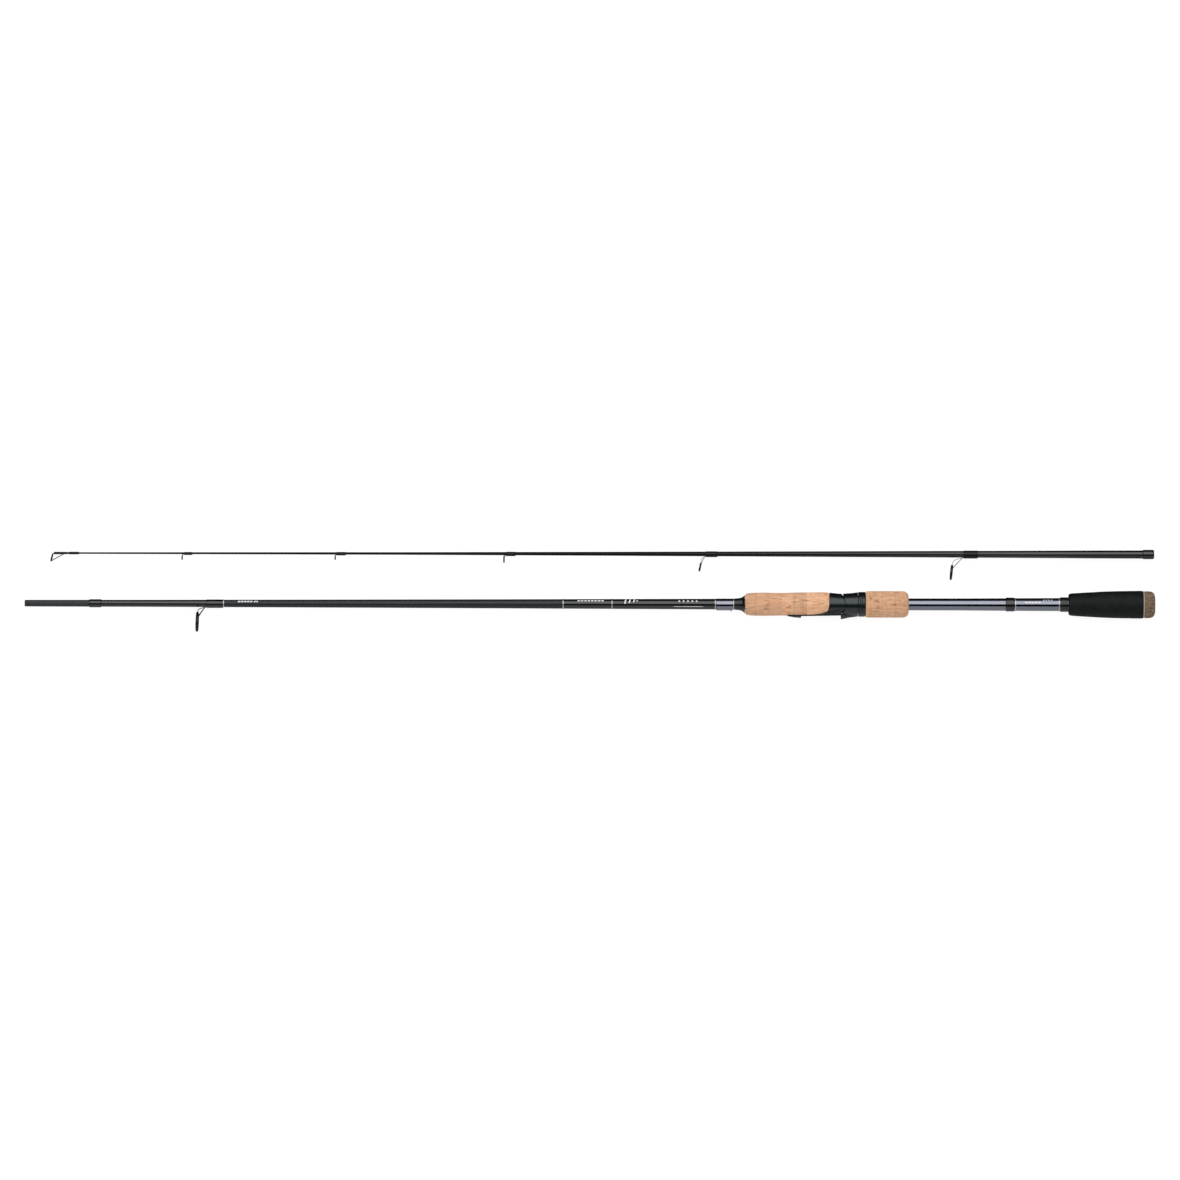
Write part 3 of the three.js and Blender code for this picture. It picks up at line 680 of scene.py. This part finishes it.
CREAM = plain("cream_trim", (0.36, 0.31, 0.21), 0.55)
BUSH = plain("bush", (0.32, 0.28, 0.2), 0.8, 0.05)
RUBBER = plain("soft_rubber", (0.012, 0.012, 0.013), 0.5, Specular_IOR_Level=0.5)
CHECK_GLOSS = plain("check_gloss", (0.006, 0.0065, 0.007), 0.22, 0.004, Coat_Weight=0.5,
                    Coat_Roughness=0.1)
WHITE_PAINT = plain("mark_paint", (0.66, 0.67, 0.7), 0.3, 0.004, Coat_Weight=1.0,
                    Coat_Roughness=0.05)

# ---- pieces ----


def piece(name, shape, finishes, slot, nodes=None, section=BUTT, body="butt_section", zones=None,
          sharp=40.0, pits=False):
    """Makes a shape a piece of the object, in place of the given nodes or the one of its name.
    zones gives the finish's number at each face's centre."""
    nodes = [name] if nodes is None else nodes
    name += "_look"
    mesh = mesh_of(name, shape)
    for finish in finishes:
        mesh.materials.append(finish.material)
    if zones is not None:
        centres = np.zeros((len(mesh.polygons), 3))
        mesh.polygons.foreach_get("center", centres.ravel())
        mesh.polygons.foreach_set("material_index", zones(centres).astype(np.int32))
    if pits:
        attribute = mesh.attributes.new("pit", "FLOAT", "POINT")
        attribute.data.foreach_set("value", cork_pits(shape[0]).astype(np.float32))
    mesh.transform(Matrix.Scale(MM, 4))
    mesh.shade_smooth()
    mesh.set_sharp_from_angle(angle=math.radians(sharp))
    obj = added(name, mesh)
    obj.matrix_world = section
    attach(obj, body)
    if nodes:
        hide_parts(*nodes)


def on_tip(*given, **more):
    piece(*given, section=TIP, body="tip_section", **more)


# ---- blanks ----


def butt_blank():
    bounds = [62.2, 192.3, 520.5, 853.0, 1004.0]

    def zones(centres):
        s = centres[:, 0]
        number = np.select([s < bounds[0], s < bounds[1], s < bounds[2], s < bounds[3]], [2, 0, 1, 0], 3)
        radius = np.hypot(centres[:, 1], centres[:, 2])
        inside = radius < radius_at(BUTT_BLANK, s) - 0.4
        return np.where(inside, 4, number)

    finishes = [BLANK_GLOSS, BLANK_CHARCOAL, BLANK_GROUND, BLANK_VIOLET, BLANK_BORE]
    stations = np.unique([*np.arange(8, 1078, 9.0), *[s for s, r in BUTT_BLANK], *bounds])
    outer = [(s, radius_at(BUTT_BLANK, s)) for s in stations]
    inner = dense(BUTT_BORE, 30, closed=False)
    piece("butt_blank", turned([*outer, *inner[::-1]], 64), finishes, "blank", zones=zones)


def tip_blank():
    outer = dense(TIP_BLANK, 9, closed=False)
    inner = dense(TIP_BORE, 30, closed=False)
    outline = [(TIP_BLANK[0][0], 0.0), *outer, *inner[::-1], (TIP_BORE[0][0], 0.0)]

    def zones(centres):
        radius = np.hypot(centres[:, 1], centres[:, 2])
        return np.where(radius < radius_at(TIP_BLANK, centres[:, 0]) - 0.2, 1, 0)

    on_tip("tip_blank", turned(outline, 48), [TIP_GLOSS, BLANK_BORE], "blank", zones=zones)


# ---- windings ----

THREAD_TURN = 0.3  # between two turns of thread
THREAD_RIDGE = 0.003


def ridged(s, angle, radius):
    """Fine turns of thread, wound as a screw, sunk into the winding's outline."""
    return s, radius + THREAD_RIDGE * (np.cos(math.tau * s / THREAD_TURN - angle) - 2)


def winding(blank, band, sides=56):
    start, end, radius = band
    low = radius_at(blank, start) + 0.02
    lift = min(0.12, radius - low)
    rise = [(0, low), (0.05, low + lift), (0.7, radius - 0.03), (1.4, radius)]
    outer = [(start + s, r) for s, r in rise] + [(end - s, r) for s, r in reversed(rise)]
    inner = [(s, radius_at(blank, s) - 0.15) for s in (start, end)]
    outline = dense([*outer, *reversed(inner)], THREAD_TURN / 4)
    return turned(outline, sides, 0.0, ridged)


def swollen(blank, band, stations, low, radius, shift, starts, sides):
    """Thread on a band of the blank that swells from `low` to a radius and shifts to under the
    blank. starts gives the shares of both that it has at its ends."""
    begin, end = band
    edge = np.minimum(stations - begin, end - stations)
    rise = 1 - (1 - np.minimum(edge / WRAP_RISE, 1)) ** 3
    grown, fall = [start + (1 - start) * rise for start in starts]
    rows = np.stack([stations, low + (radius - low) * grown, shift * fall], 1)
    rows = np.vstack([rows, [(s, radius_at(blank, s) - 0.1, 0) for s in (end, begin)]])
    return turned(rows[:, :2], sides, rows[:, 2], ridged)


def foot_wrap(blank, guide):
    """Thread over a guide's foot, fuller on the foot's side."""
    start, end = guide["wrap"]
    below = FOOT_THICKNESS + 2 * GAP + WRAP_COVER
    radius = radius_at(blank, end) + (WRAP_COVER + below) / 2
    stations = np.linspace(start, end, int((end - start) / (THREAD_TURN / 4)))
    low = radius_at(blank, stations) + 0.03
    shift = (below - WRAP_COVER) / 2
    return swollen(blank, guide["wrap"], stations, low, radius, shift, (0.25, 0.4), 56)


def trim_ring(middle, number):
    """A band of twisted metallic thread."""
    radius = radius_at(BUTT_BLANK, middle)
    turns = 90

    def twisted(s, angle, r):
        wave = np.cos(turns * angle + math.tau * (s - middle) / 0.55)
        return s, r + np.where(r > radius + 0.05, 0.03 * wave - 0.03, 0)

    outline = []
    for a in np.linspace(0, math.pi, 9):
        across = middle - TRIM_WIDTH / 2 * math.cos(a)
        outline.append((across, radius + 0.02 + (TRIM_HEIGHT - 0.02) * math.sin(a) ** 0.6))
    outline += [(middle + TRIM_WIDTH / 2, radius - 0.15), (middle - TRIM_WIDTH / 2, radius - 0.15)]
    shape = turned(outline, turns * 4, 0.0, twisted)
    piece("trim_ring_%d" % number, shape, [SILVER], "silver_trim")


# ---- guides ----


def leant(guide, shape):
    """Turns a hoop's top, its side next to the blank, towards the butt."""
    verts, faces = shape
    cos, sin = math.cos(guide["lean"]), math.sin(guide["lean"])
    x, y = verts[:, 0] - guide["ring"], verts[:, 1] + guide["depth"]
    s, y = guide["ring"] + x * cos + y * sin, y * cos - x * sin - guide["depth"]
    return np.stack([s, y, verts[:, 2]], -1), faces


def hoop(guide):
    """The hoop of a guide's frame: a band with rounded edges on both sides."""
    outer, inner = guide["radius"], guide["radius"] - guide["wall"]
    half, ring = guide["width"] / 2, guide["ring"]
    outline = softened([(ring - half, outer), (ring + half, outer), (ring + half, inner),
                        (ring - half, inner)], guide["wall"] * 0.45)
    return leant(guide, turned(outline, 96, guide["depth"]))


def insert(guide):
    """The polished ring that the line runs through."""
    outer = guide["radius"] - guide["wall"] + 0.02
    ring, bore, half = guide["ring"], guide["bore"], guide["width"] / 2
    middle = (outer + bore) / 2
    outline = [(ring - half * 0.96, outer), (ring + half * 0.96, outer)]
    for a in np.linspace(0.12, math.pi - 0.12, 13):
        reach = (half + 0.18) * math.cos(a)
        outline.append((ring + reach, middle + 0.12 - (middle + 0.12 - bore) * math.sin(a) ** 0.8))
    return leant(guide, turned(outline, 72, guide["depth"]))


def foot_plate(blank, guide):
    """The foot, ground thinner towards its tip."""
    start, wrap_end = guide["wrap"]
    end = start + 0.85 * (wrap_end - start)
    top = -radius_at(blank, wrap_end) - GAP
    half = guide["foot"] / 2
    points = [(guide["exit"] - 0.25, top), (end, top), (end, top - 0.14),
              (start + 0.6, top - FOOT_THICKNESS), (guide["exit"] - 0.25, top - FOOT_THICKNESS)]
    return extruded(points, -half, half)


def guide_legs(blank, guide):
    """A thin leg to the top of the hoop and a leg to each of its sides."""
    foot_depth = radius_at(blank, guide["exit"]) + GAP + FOOT_THICKNESS / 2 + 0.05
    start = np.array([guide["exit"] + 0.1, -foot_depth, 0])
    grip = guide["radius"] - guide["wall"] / 2
    lean = grip * math.sin(guide["lean"])
    top = np.array([guide["ring"] + lean, grip * math.cos(guide["lean"]) - guide["depth"], 0])
    side = np.array([guide["ring"] + 0.2 + 0.35 * lean, 0.35 * grip - guide["depth"], grip * 0.96])

    def between(end, share, fall, out):
        reach = end - start
        return start + np.array([reach[0] * share, reach[1] * fall, out])

    made = [wire([start, between(top, 0.6, 0.22, 0), between(top, 0.88, 0.5, 0), top],
                 guide["leg"] * 0.85, flat=0.8)]
    for sign in (1, -1):
        made.append(wire([
            start + np.array([0, 0, sign * 0.3]), between(side, 0.5, 0.44, sign * 0.5 * grip),
            between(side, 0.86, 0.8, sign * 0.85 * grip), side * np.array([1, 1, sign]),
        ], guide["leg"], flat=0.8))
    return made


def guide(name, blank, sizes, add):
    parts = [hoop(sizes), foot_plate(blank, sizes), *guide_legs(blank, sizes)]
    add(name + "_frame", welded(parts, sizes["voxel"], smoothing=3), [PLATED], "guide_frame")
    add(name + "_ring", insert(sizes), [CERAMIC], "guide_ring")
    finish = BLACK_THREAD if blank is BUTT_BLANK else TIP_THREAD
    add(name + "_wrap", foot_wrap(blank, sizes), [finish], "thread")


def tip_top():
    ring, depth, radius = TIP_TOP["ring"], TIP_TOP["depth"], TIP_TOP["radius"]
    socket = bar([(28, 1.0), (29, 1.25), (41.5, 1.15)], 48, fillet=0.15)
    parts = [hoop(TIP_TOP), socket]
    for side in (1, -1):
        parts.append(wire([(37.5, -0.9, side * 0.5), (31, -4.4, side * 1.5),
                           (25.6, -depth - 0.8 * radius, side * 1.7)], 0.4))
    parts.append(wire([(30, -0.6, 0), (28.2, -0.8, 0), (ring + 0.6, -depth + radius - 0.2, 0)], 0.5))
    on_tip("tip_top_frame", welded(parts, 0.09, smoothing=3), [PLATED], "guide_frame")
    on_tip("tip_top_ring", insert(TIP_TOP), [CERAMIC], "guide_ring")


# ---- reel seat ----


def fixed_hood():
    outline = [(733.5, 1.5), (POCKET_FRONT, 3.7), (744, 4.8), (749.4, 5.2), (BED_FRONT, 5)]
    return bar(outline, 64, HOOD_AXIS_DEPTH)


def mirrored(half_outline):
    return [*half_outline, *[(s, -w) for s, w in reversed(half_outline)]]


def barrel_change(s, angle, radius):
    """A rounded thread that the lock nut runs on, and the keyway on the +y side."""
    phase = (s / THREAD_PITCH - angle / math.tau) % 1
    crest = 0.5 + 0.5 * np.cos(math.tau * phase)
    ends = ease(s, 793, 795) * (1 - ease(s, 846, 849))
    threaded = radius - 0.5 * (1 - crest**0.7) * ends
    outside = radius > CORE_RADIUS - 0.5
    radius = np.where(outside, threaded, radius)
    flat = (BARREL_RADIUS - KEY_DEPTH) / np.maximum(np.cos(angle), 0.2)
    key = (np.cos(angle) > 0.5) & (np.abs(np.sin(angle)) * BARREL_RADIUS < KEY_WIDTH / 2) & outside
    return s, np.where(key, np.minimum(radius, flat), radius)


def reel_seat():
    core = bar([(728, CORE_RADIUS), (791.5, CORE_RADIUS)], 96)
    skirt = bar([(BED_FRONT, 11.7), (FORE_GRIP_REAR, 11.3), (783, 10.7), (BARREL_FRONT, 10.1)], 128)
    shift = 0.3  # clear of the cork
    ahead = [(s + shift, y - shift / 2) for s, y in GRIP_EDGE]
    ahead = [(740, WIDE), (FORE_GRIP_REAR + shift, WIDE), *ahead, (BED_FRONT + shift, -WIDE), (740, -WIDE)]
    skirt = combined(skirt, extruded(ahead))
    rails = [(s, w + RAIL_WIDTH) for s, w in FOOT_SPACE]
    rails[0] = (POCKET_FRONT, rails[0][1])
    low = [(733, -RAIL_DEPTH), (BARREL_FRONT + 5, -RAIL_REAR_DEPTH), (BARREL_FRONT + 5, 0), (733, 0)]
    rails = extruded(mirrored(rails), 5, 13, down=True)
    rails = combined(rails, extruded(low), "INTERSECT")
    rails = combined(rails, bar([(POCKET_FRONT, 12.6), (BARREL_FRONT, 15)], 128), "INTERSECT")
    edge = [(s - TONGUE_GAP - TONGUE_LIP, y) for s, y in HOOD_MOUTH]
    tongue = combined(bar([(787, 10.2), (795, 9.8)], 128), extruded(edge), "INTERSECT")
    bed = combined(extruded(mirrored(FOOT_SPACE), BED_DEPTH, WIDE, down=True), fixed_hood())
    below = [(POCKET_FRONT, 10), (BED_FRONT + 1, 10), (BED_FRONT + 1, -10), (POCKET_FRONT, -10)]
    pocket = combined(bar([(POCKET_FRONT + 0.5, 1.5), (741, 3.2), (BED_FRONT + 0.5, 4.2)], 64,
                          HOOD_AXIS_DEPTH), extruded(below, BED_DEPTH, WIDE, down=True), "INTERSECT")
    hollow = bar([(720, SEAT_BORE), (800, SEAT_BORE)], 96)
    body = welded([core, skirt, tongue, rails, fixed_hood()], 0.27, [bed, pocket, hollow])
    outline = [(BARREL_FRONT, BARREL_RADIUS), (849.2, BARREL_RADIUS), (BARREL_REAR, 8.2),
               (BARREL_REAR, SEAT_BORE), (BARREL_FRONT, SEAT_BORE)]
    barrel = turned(dense(outline, 0.25), 160, 0.0, barrel_change)
    piece("reel_seat", joined(body, barrel), [SATIN], "seat")


def moving_hood():
    shell = bar([(HOOD_FRONT, 10.15), (794, 10.45), (800, 10.9), (803.8, 11.45), (HOOD_REAR, 11.55)],
                128)
    outline = [(HOOD_FRONT, 5.7), (HOOD_FRONT + 0.8, 5.9), (797, 4.3), (HOOD_REAR, 3.2)]
    scoop = bar(outline, 64, SCOOP_DEPTH)
    mouth = extruded(HOOD_MOUTH)
    bore = bar([(780, RUNNING_RADIUS), (810, RUNNING_RADIUS)], 96)
    pocket = bar([(780, 4.6), (HOOD_FRONT, 4.6), (801, 2.6)], 48, SCOOP_DEPTH)
    shape = welded([shell, scoop], 0.22, [mouth, bore, pocket], smoothing=2)
    piece("moving_hood", shape, [SATIN], "seat", body="moving_hood")


def lock_nut():
    def grooved(s, angle, radius):
        cut = sum(np.exp(-(((s - at) / 0.22) ** 2)) for at in (807.5, 809.6, 811.7))
        knurl = 0.5 + 0.5 * np.cos(72 * angle)
        grip = ease(s, 806.2, 806.8) * (1 - ease(s, 811.8, 812.4))
        sunk = 0.35 * np.minimum(cut, 1) + 0.05 * knurl * grip
        return s, radius - np.where(radius > 11, sunk, 0)

    outer = [(NUT_FRONT, 11.7), (806.1, 12), (COLLAR_REAR - 0.4, 12), (COLLAR_REAR, 11.7),
             (COLLAR_REAR, 10.4), (NUT_REAR, 10.4)]
    inner = [(NUT_FRONT, RUNNING_RADIUS), (NUT_REAR, RUNNING_RADIUS)]
    shape = tube(outer, inner, 288, fillet=0.15, change=grooved, step=0.25)
    piece("lock_nut", shape, [SATIN], "seat", body="lock_nut")


# ---- grips ----


def under_bed(s, angle, radius):
    """Sinks the cork between the middles of the seat's two rails to under its bed."""
    half = radius_at(FOOT_SPACE, s) + 0.7
    down = np.maximum(-np.cos(angle), 0.2)
    within = (s > POCKET_FRONT + 0.5) & (np.abs(radius * np.sin(angle)) < half)
    covered = within & (radius * down > 5)
    return np.where(covered, np.minimum(radius, (BED_DEPTH - 0.3) / down), radius)


def fore_grip():
    outer = [(FORE_GRIP_FRONT, 9.3), (697.4, 10.2), (700, 10.8), (704.5, 11.15), (716, 11.25),
             (731, 10.95), (745, 11.4), (770, 11.65), (775.6, 11.6), (FORE_GRIP_REAR, 10.9)]
    inner = [(FORE_GRIP_FRONT, 5.4), (703.9, 5.4), (703.9, CORE_RADIUS), (FORE_GRIP_REAR, CORE_RADIUS)]
    edge = [(y, s) for s, y in reversed(GRIP_EDGE)]
    bent_from, rounded_from = 710, 770

    def cut_and_pitted(s, angle, radius):
        rear = radius_at(edge, radius * np.cos(angle))
        share = np.clip((s - bent_from) / (FORE_GRIP_REAR - bent_from), 0, 1)
        moved = s + share * (rear - FORE_GRIP_REAR)
        outside = radius > CORE_RADIUS + 1.2
        full = radius_at(outer, np.minimum(s, rounded_from))
        drop = np.where(outside & (s > rounded_from), np.maximum(full - radius, 0), 0)
        surface = radius_at(outer, moved) - drop * (moved < rounded_from)
        radius = under_bed(moved, angle, np.where(outside & (s > bent_from), surface, radius))
        return cork_relief(moved, angle, radius, CORE_RADIUS + 0.6)

    shape = tube(outer, inner, 288, fillet=0.6, change=cut_and_pitted, step=0.27)
    piece("fore_grip", shape, [CORK], "cork", pits=True, sharp=60)


def nut_cork():
    outer = [(COLLAR_REAR + 0.3, 12.5), (814, 12.75), (818, 12.85), (849, 12.85), (851.4, 12.2),
             (853.4, 10.6), (NUT_CORK_REAR, 8.6)]
    inner = [(COLLAR_REAR + 0.3, 10.46), (851.3, 10.46), (851.3, 6.12), (NUT_CORK_REAR, 6.12)]
    shape = tube(outer, inner, 288, fillet=0.5, step=0.28,
                 change=lambda s, angle, r: cork_relief(s, angle, r, 10.5))
    piece("nut_cork", shape, [NUT_CORK], "cork", body="lock_nut", pits=True, sharp=60)


def eva_grip():
    outer = [(1008.7, 9.6), (1009.6, 10.4), (1012, 10.9), (1018, 11.3), (1030, 12.05), (1042, 12.7),
             (1054, 13.1), (1076, 13.45), (1079.6, 13.4), (1080.9, 13)]
    inner = [(1008.7, 6.1), (1080.9, 6.1)]

    def textured(s, angle, radius):
        points = surface_points(s, angle, radius)
        rough = 0.03 * field(points, 0.7, 5) + 0.03 * field(points, 3, 6)
        return s, radius - np.where(radius > 9, 0.06 + rough, 0)

    shape = tube(outer, inner, 240, fillet=0.5, change=textured, step=0.45)
    piece("eva_grip", shape, [FOAM], "foam", sharp=60)


def butt_cap():
    outline = [(1062, 5.2), (CAP_FRONT, 5.2), (CAP_FRONT, 13.05), (1087.5, 12.95), (1089.6, 12.4),
               (1091.3, 10.9), (BUTT_END - 0.05, 8.4)]

    def crumbled(s, angle, radius):
        points = surface_points(s, angle, radius)
        rough = 0.05 * field(points, 0.8, 7)
        return s, radius - np.where((radius > 6) & (s > CAP_FRONT + 0.2), 0.05 + rough, 0)

    shape = bar(outline, 200, fillet=0.6, change=crumbled, step=0.4)
    piece("butt_cap", shape, [RUBBER_CORK], "rubber_cork", sharp=60)


def handle_rings():
    check = [(686, 5.45), (690, 5.8), (693.4, 6.7), (695.2, 8.2), (696, 8.7)]
    shape = tube(smooth_line(check, 6), [(686, 5.1), (696, 5.1)], 96, fillet=0.12)
    piece("winding_check", shape, [CHECK_GLOSS], "seat")
    start, end, radius = GRIP_CHECK
    outer = [(start, radius - 0.25), (start + 0.5, radius), (end, radius)]
    shape = tube(outer, [(start, 6.2), (end, 6.2)], 96, fillet=0.3)
    piece("grip_check", shape, [CHECK_GLOSS], "seat")
    shape = tube([(1081, 12.9), (1081.9, 12.9)], [(1081, 5.3), (1081.9, 5.3)], 160, fillet=0.2)
    piece("cap_trim", shape, [CREAM], "cream_trim")
    for place, start in (("front", 708), ("middle", 772), ("rear", 836)):
        inner = [(s, radius_at(BUTT_BLANK, s) + GAP) for s in (start, start + 10)]
        shape = tube([(start, 7.14), (start + 10, 7.14)], inner, 64, fillet=0.2)
        piece("seat_bush_" + place, shape, [BUSH], "bush")


def keeper():
    depth = radius_at(BUTT_BLANK, KEEPER_WRAP[1]) + GAP + 0.25
    half = [(676, -depth + 0.1, 1.2), (680.6, -depth + 0.05, 1.25), (682.4, -depth - 0.6, 1.3),
            (682.8, -depth - 1.4, 1.1), (682.8, -depth - 1.95, 0.5)]
    other = [(s, y, -z) for s, y, z in reversed(half)]
    loop = wire([*half, (682.8, -depth - 2.1, 0), *other], 0.24, sides=16, steps=10)
    piece("hook_keeper", loop, [PLATED], "guide_frame")
    start, end, radius = KEEPER_WRAP
    stations = np.arange(start, end, THREAD_TURN / 4)
    low = radius_at(BUTT_BLANK, start) + 0.05
    shape = swollen(BUTT_BLANK, (start, end), stations, low, radius + 0.2, 0.35, (0.3, 0.3), 72)
    piece("keeper_wrap", shape, [VIOLET_THREAD], "violet_thread")


def ferrule_plug():
    outline = [(0.03, 2.7), (0.6, 3.15), (4.6, 3.2), (4.6, 2.3), (14, 2.25)]
    piece("ferrule_plug", bar(outline, 64, fillet=0.35), [RUBBER], "thread")


# ---- printed marks: plain geometric shapes ----


def patch(corners):
    """A thin painted shape on the butt blank. Its four corners are (s, degrees from +z to +y)."""
    a, b, c, d = [np.array(corner, float) for corner in corners]
    count = 7
    verts = []
    for lift in (0.035, -0.05):  # the paint's outside, and its inside within the blank
        for v, u in itertools.product(np.linspace(0, 1, count), repeat=2):
            left, right = a + (d - a) * v, b + (c - b) * v
            s, turn = left + (right - left) * u
            radius, turn = radius_at(BUTT_BLANK, s) + lift, math.radians(turn)
            verts.append((s, radius * math.sin(turn), radius * math.cos(turn)))
    under = count * count
    grid = np.arange(under).reshape(count, count).tolist()
    faces = []
    for i, j in itertools.product(range(count - 1), repeat=2):
        quad = [grid[i][j], grid[i][j + 1], grid[i + 1][j + 1], grid[i + 1][j]]
        faces += [quad, [k + under for k in reversed(quad)]]
    rim = [*grid[0][:-1], *[row[-1] for row in grid[:-1]], *grid[-1][:0:-1],
           *[row[0] for row in grid[:0:-1]]]
    faces += [[after, k, k + under, after + under] for k, after in zip(rim, rim[1:] + rim[:1])]
    return np.array(verts), faces


def slanted(start, width, low, high, slant):
    return patch([(start, low), (start + width, low), (start + width + slant, high), (start + slant, high)])


def row(start, pitch, count, *bar_sizes):
    return [slanted(start + pitch * i, *bar_sizes) for i in range(count)]


def marks():
    made = row(206, 2.9, 5, 2.2, 20, 44, 0.8) + row(221.3, 2.2, 2, 1.6, 20, 44, 0.8)
    made += row(534, 3.3, 8, 2.3, 32, 50, 0.7)
    made += [slanted(579.5 + 4.2 * i, 1.3, 4 + 8 * i, 66, 1.0) for i in range(3)]
    made += [slanted(591.2, 1.3, 32, 48, 0.3)]
    for i in range(5):
        start = 631.5 + 4.2 * i
        made.append(slanted(start, 1.1, 22, 35, 1.2))
        made.append(slanted(start + 1.2, 1.1, 35, 48, -1.2))
    made.append(patch([(626, -31), (657, -31), (654, -26), (629, -26)]))
    piece("marks_front", joined(*made), [WHITE_PAINT], "silver_trim", nodes=[])
    label = row(966.5, 3.1, 5, 2.2, 14, 25, 0.5) + row(984, 2.5, 4, 1.2, 38, 46, 0.4)
    piece("marks_handle", joined(*label), [WHITE_PAINT], "silver_trim", nodes=[])


# ---- the object ----

butt_blank()
ferrule_plug()
piece("ferrule_stop_wrap", winding(BUTT_BLANK, FERRULE_STOP), [BLACK_THREAD], "thread")
guide("stripper", BUTT_BLANK, STRIPPER, piece)
for number, middle in enumerate(TRIM_RINGS, 1):
    trim_ring(middle, number)
keeper()
handle_rings()
fore_grip()
reel_seat()
moving_hood()
lock_nut()
nut_cork()
piece("handle_wrap", winding(BUTT_BLANK, HANDLE_WRAP), [BLACK_THREAD], "thread")
eva_grip()
butt_cap()
marks()

tip_blank()
tip_top()
on_tip("tip_wrap", winding(TIP_BLANK, TIP_WRAP, 32), [TIP_THREAD], "thread")
for number, sizes in enumerate(GUIDES, 1):
    guide("guide_%d" % number, TIP_BLANK, sizes, on_tip)
on_tip("ferrule_wrap", winding(TIP_BLANK, FERRULE_END), [BLACK_THREAD], "thread")

# ---- camera, floor and studio light ----

scene = bpy.context.scene
camera = added("camera", bpy.data.cameras.new("camera"))
camera.location = (0.0002, 0.0006, 12)
camera.rotation_euler.z = 0.0014
camera.data.lens = 378.5
camera.data.sensor_width = 36
camera.data.clip_start, camera.data.clip_end = 0.05, 200
scene.camera = camera
scene.view_settings.view_transform = "Standard"


def softbox(name, low, high, distance, length, radiance):
    """A light that faces the origin and covers the directions from low to high degrees from the
    zenith towards +y. It is `length` along x."""
    middle, half = math.radians((low + high) / 2), math.radians((high - low) / 2)
    light = bpy.data.lights.new(name, "AREA")
    light.shape = "RECTANGLE"
    light.size, light.size_y = length, 2 * distance * math.tan(half)
    light.energy = radiance * math.pi * light.size * light.size_y
    obj = added(name, light)
    obj.location = (0, distance * math.sin(middle), distance * math.cos(middle))
    obj.rotation_euler.x = -middle
    obj.visible_camera = False


def sheet(name, reach, low, high, height, **sockets):
    """A level sheet that glows, from -reach to reach along x and from low to high along y."""
    mesh = bpy.data.meshes.new(name)
    corners = [(-reach, low, 0), (reach, low, 0), (reach, high, 0), (-reach, high, 0)]
    mesh.from_pydata(corners, [], [(0, 1, 2, 3)])
    obj = added(name, mesh)
    obj.location.z = height
    paint = Finish(name, Emission_Color=rgb(1, 1, 1), **sockets)
    paint.material.cycles.emission_sampling = "NONE"
    mesh.materials.append(paint.material)
    return obj


softbox("key", 4, 66, 2.4, 7, 1.4)
softbox("low_fill", -90, -36, 2.6, 7, 0.5)
softbox("rim_fill", 68, 90, 2.6, 7, 0.1)

# A card below the floor that only polished surfaces see, since the floor itself isn't mirrored.
card = sheet("card", 6, -20, -0.3, -0.5, Base_Color=rgb(0, 0, 0), Emission_Strength=0.45)
card.visible_camera = card.visible_diffuse = card.visible_shadow = card.visible_transmission = False

# A floor that glows itself keeps the ground white right up to the rod.
floor = sheet("floor", 30, -30, 30, -0.0002, Base_Color=rgb(0.16, 0.16, 0.16), Roughness=0.9,
              Specular_IOR_Level=0.1, Emission_Strength=0.88)
floor.visible_glossy = False

world = bpy.data.worlds.new("world")
world.use_nodes = True
world.node_tree.nodes["Background"].inputs["Color"].default_value = rgb(0.66, 0.66, 0.66)
world.cycles_visibility.glossy = False
scene.world = world
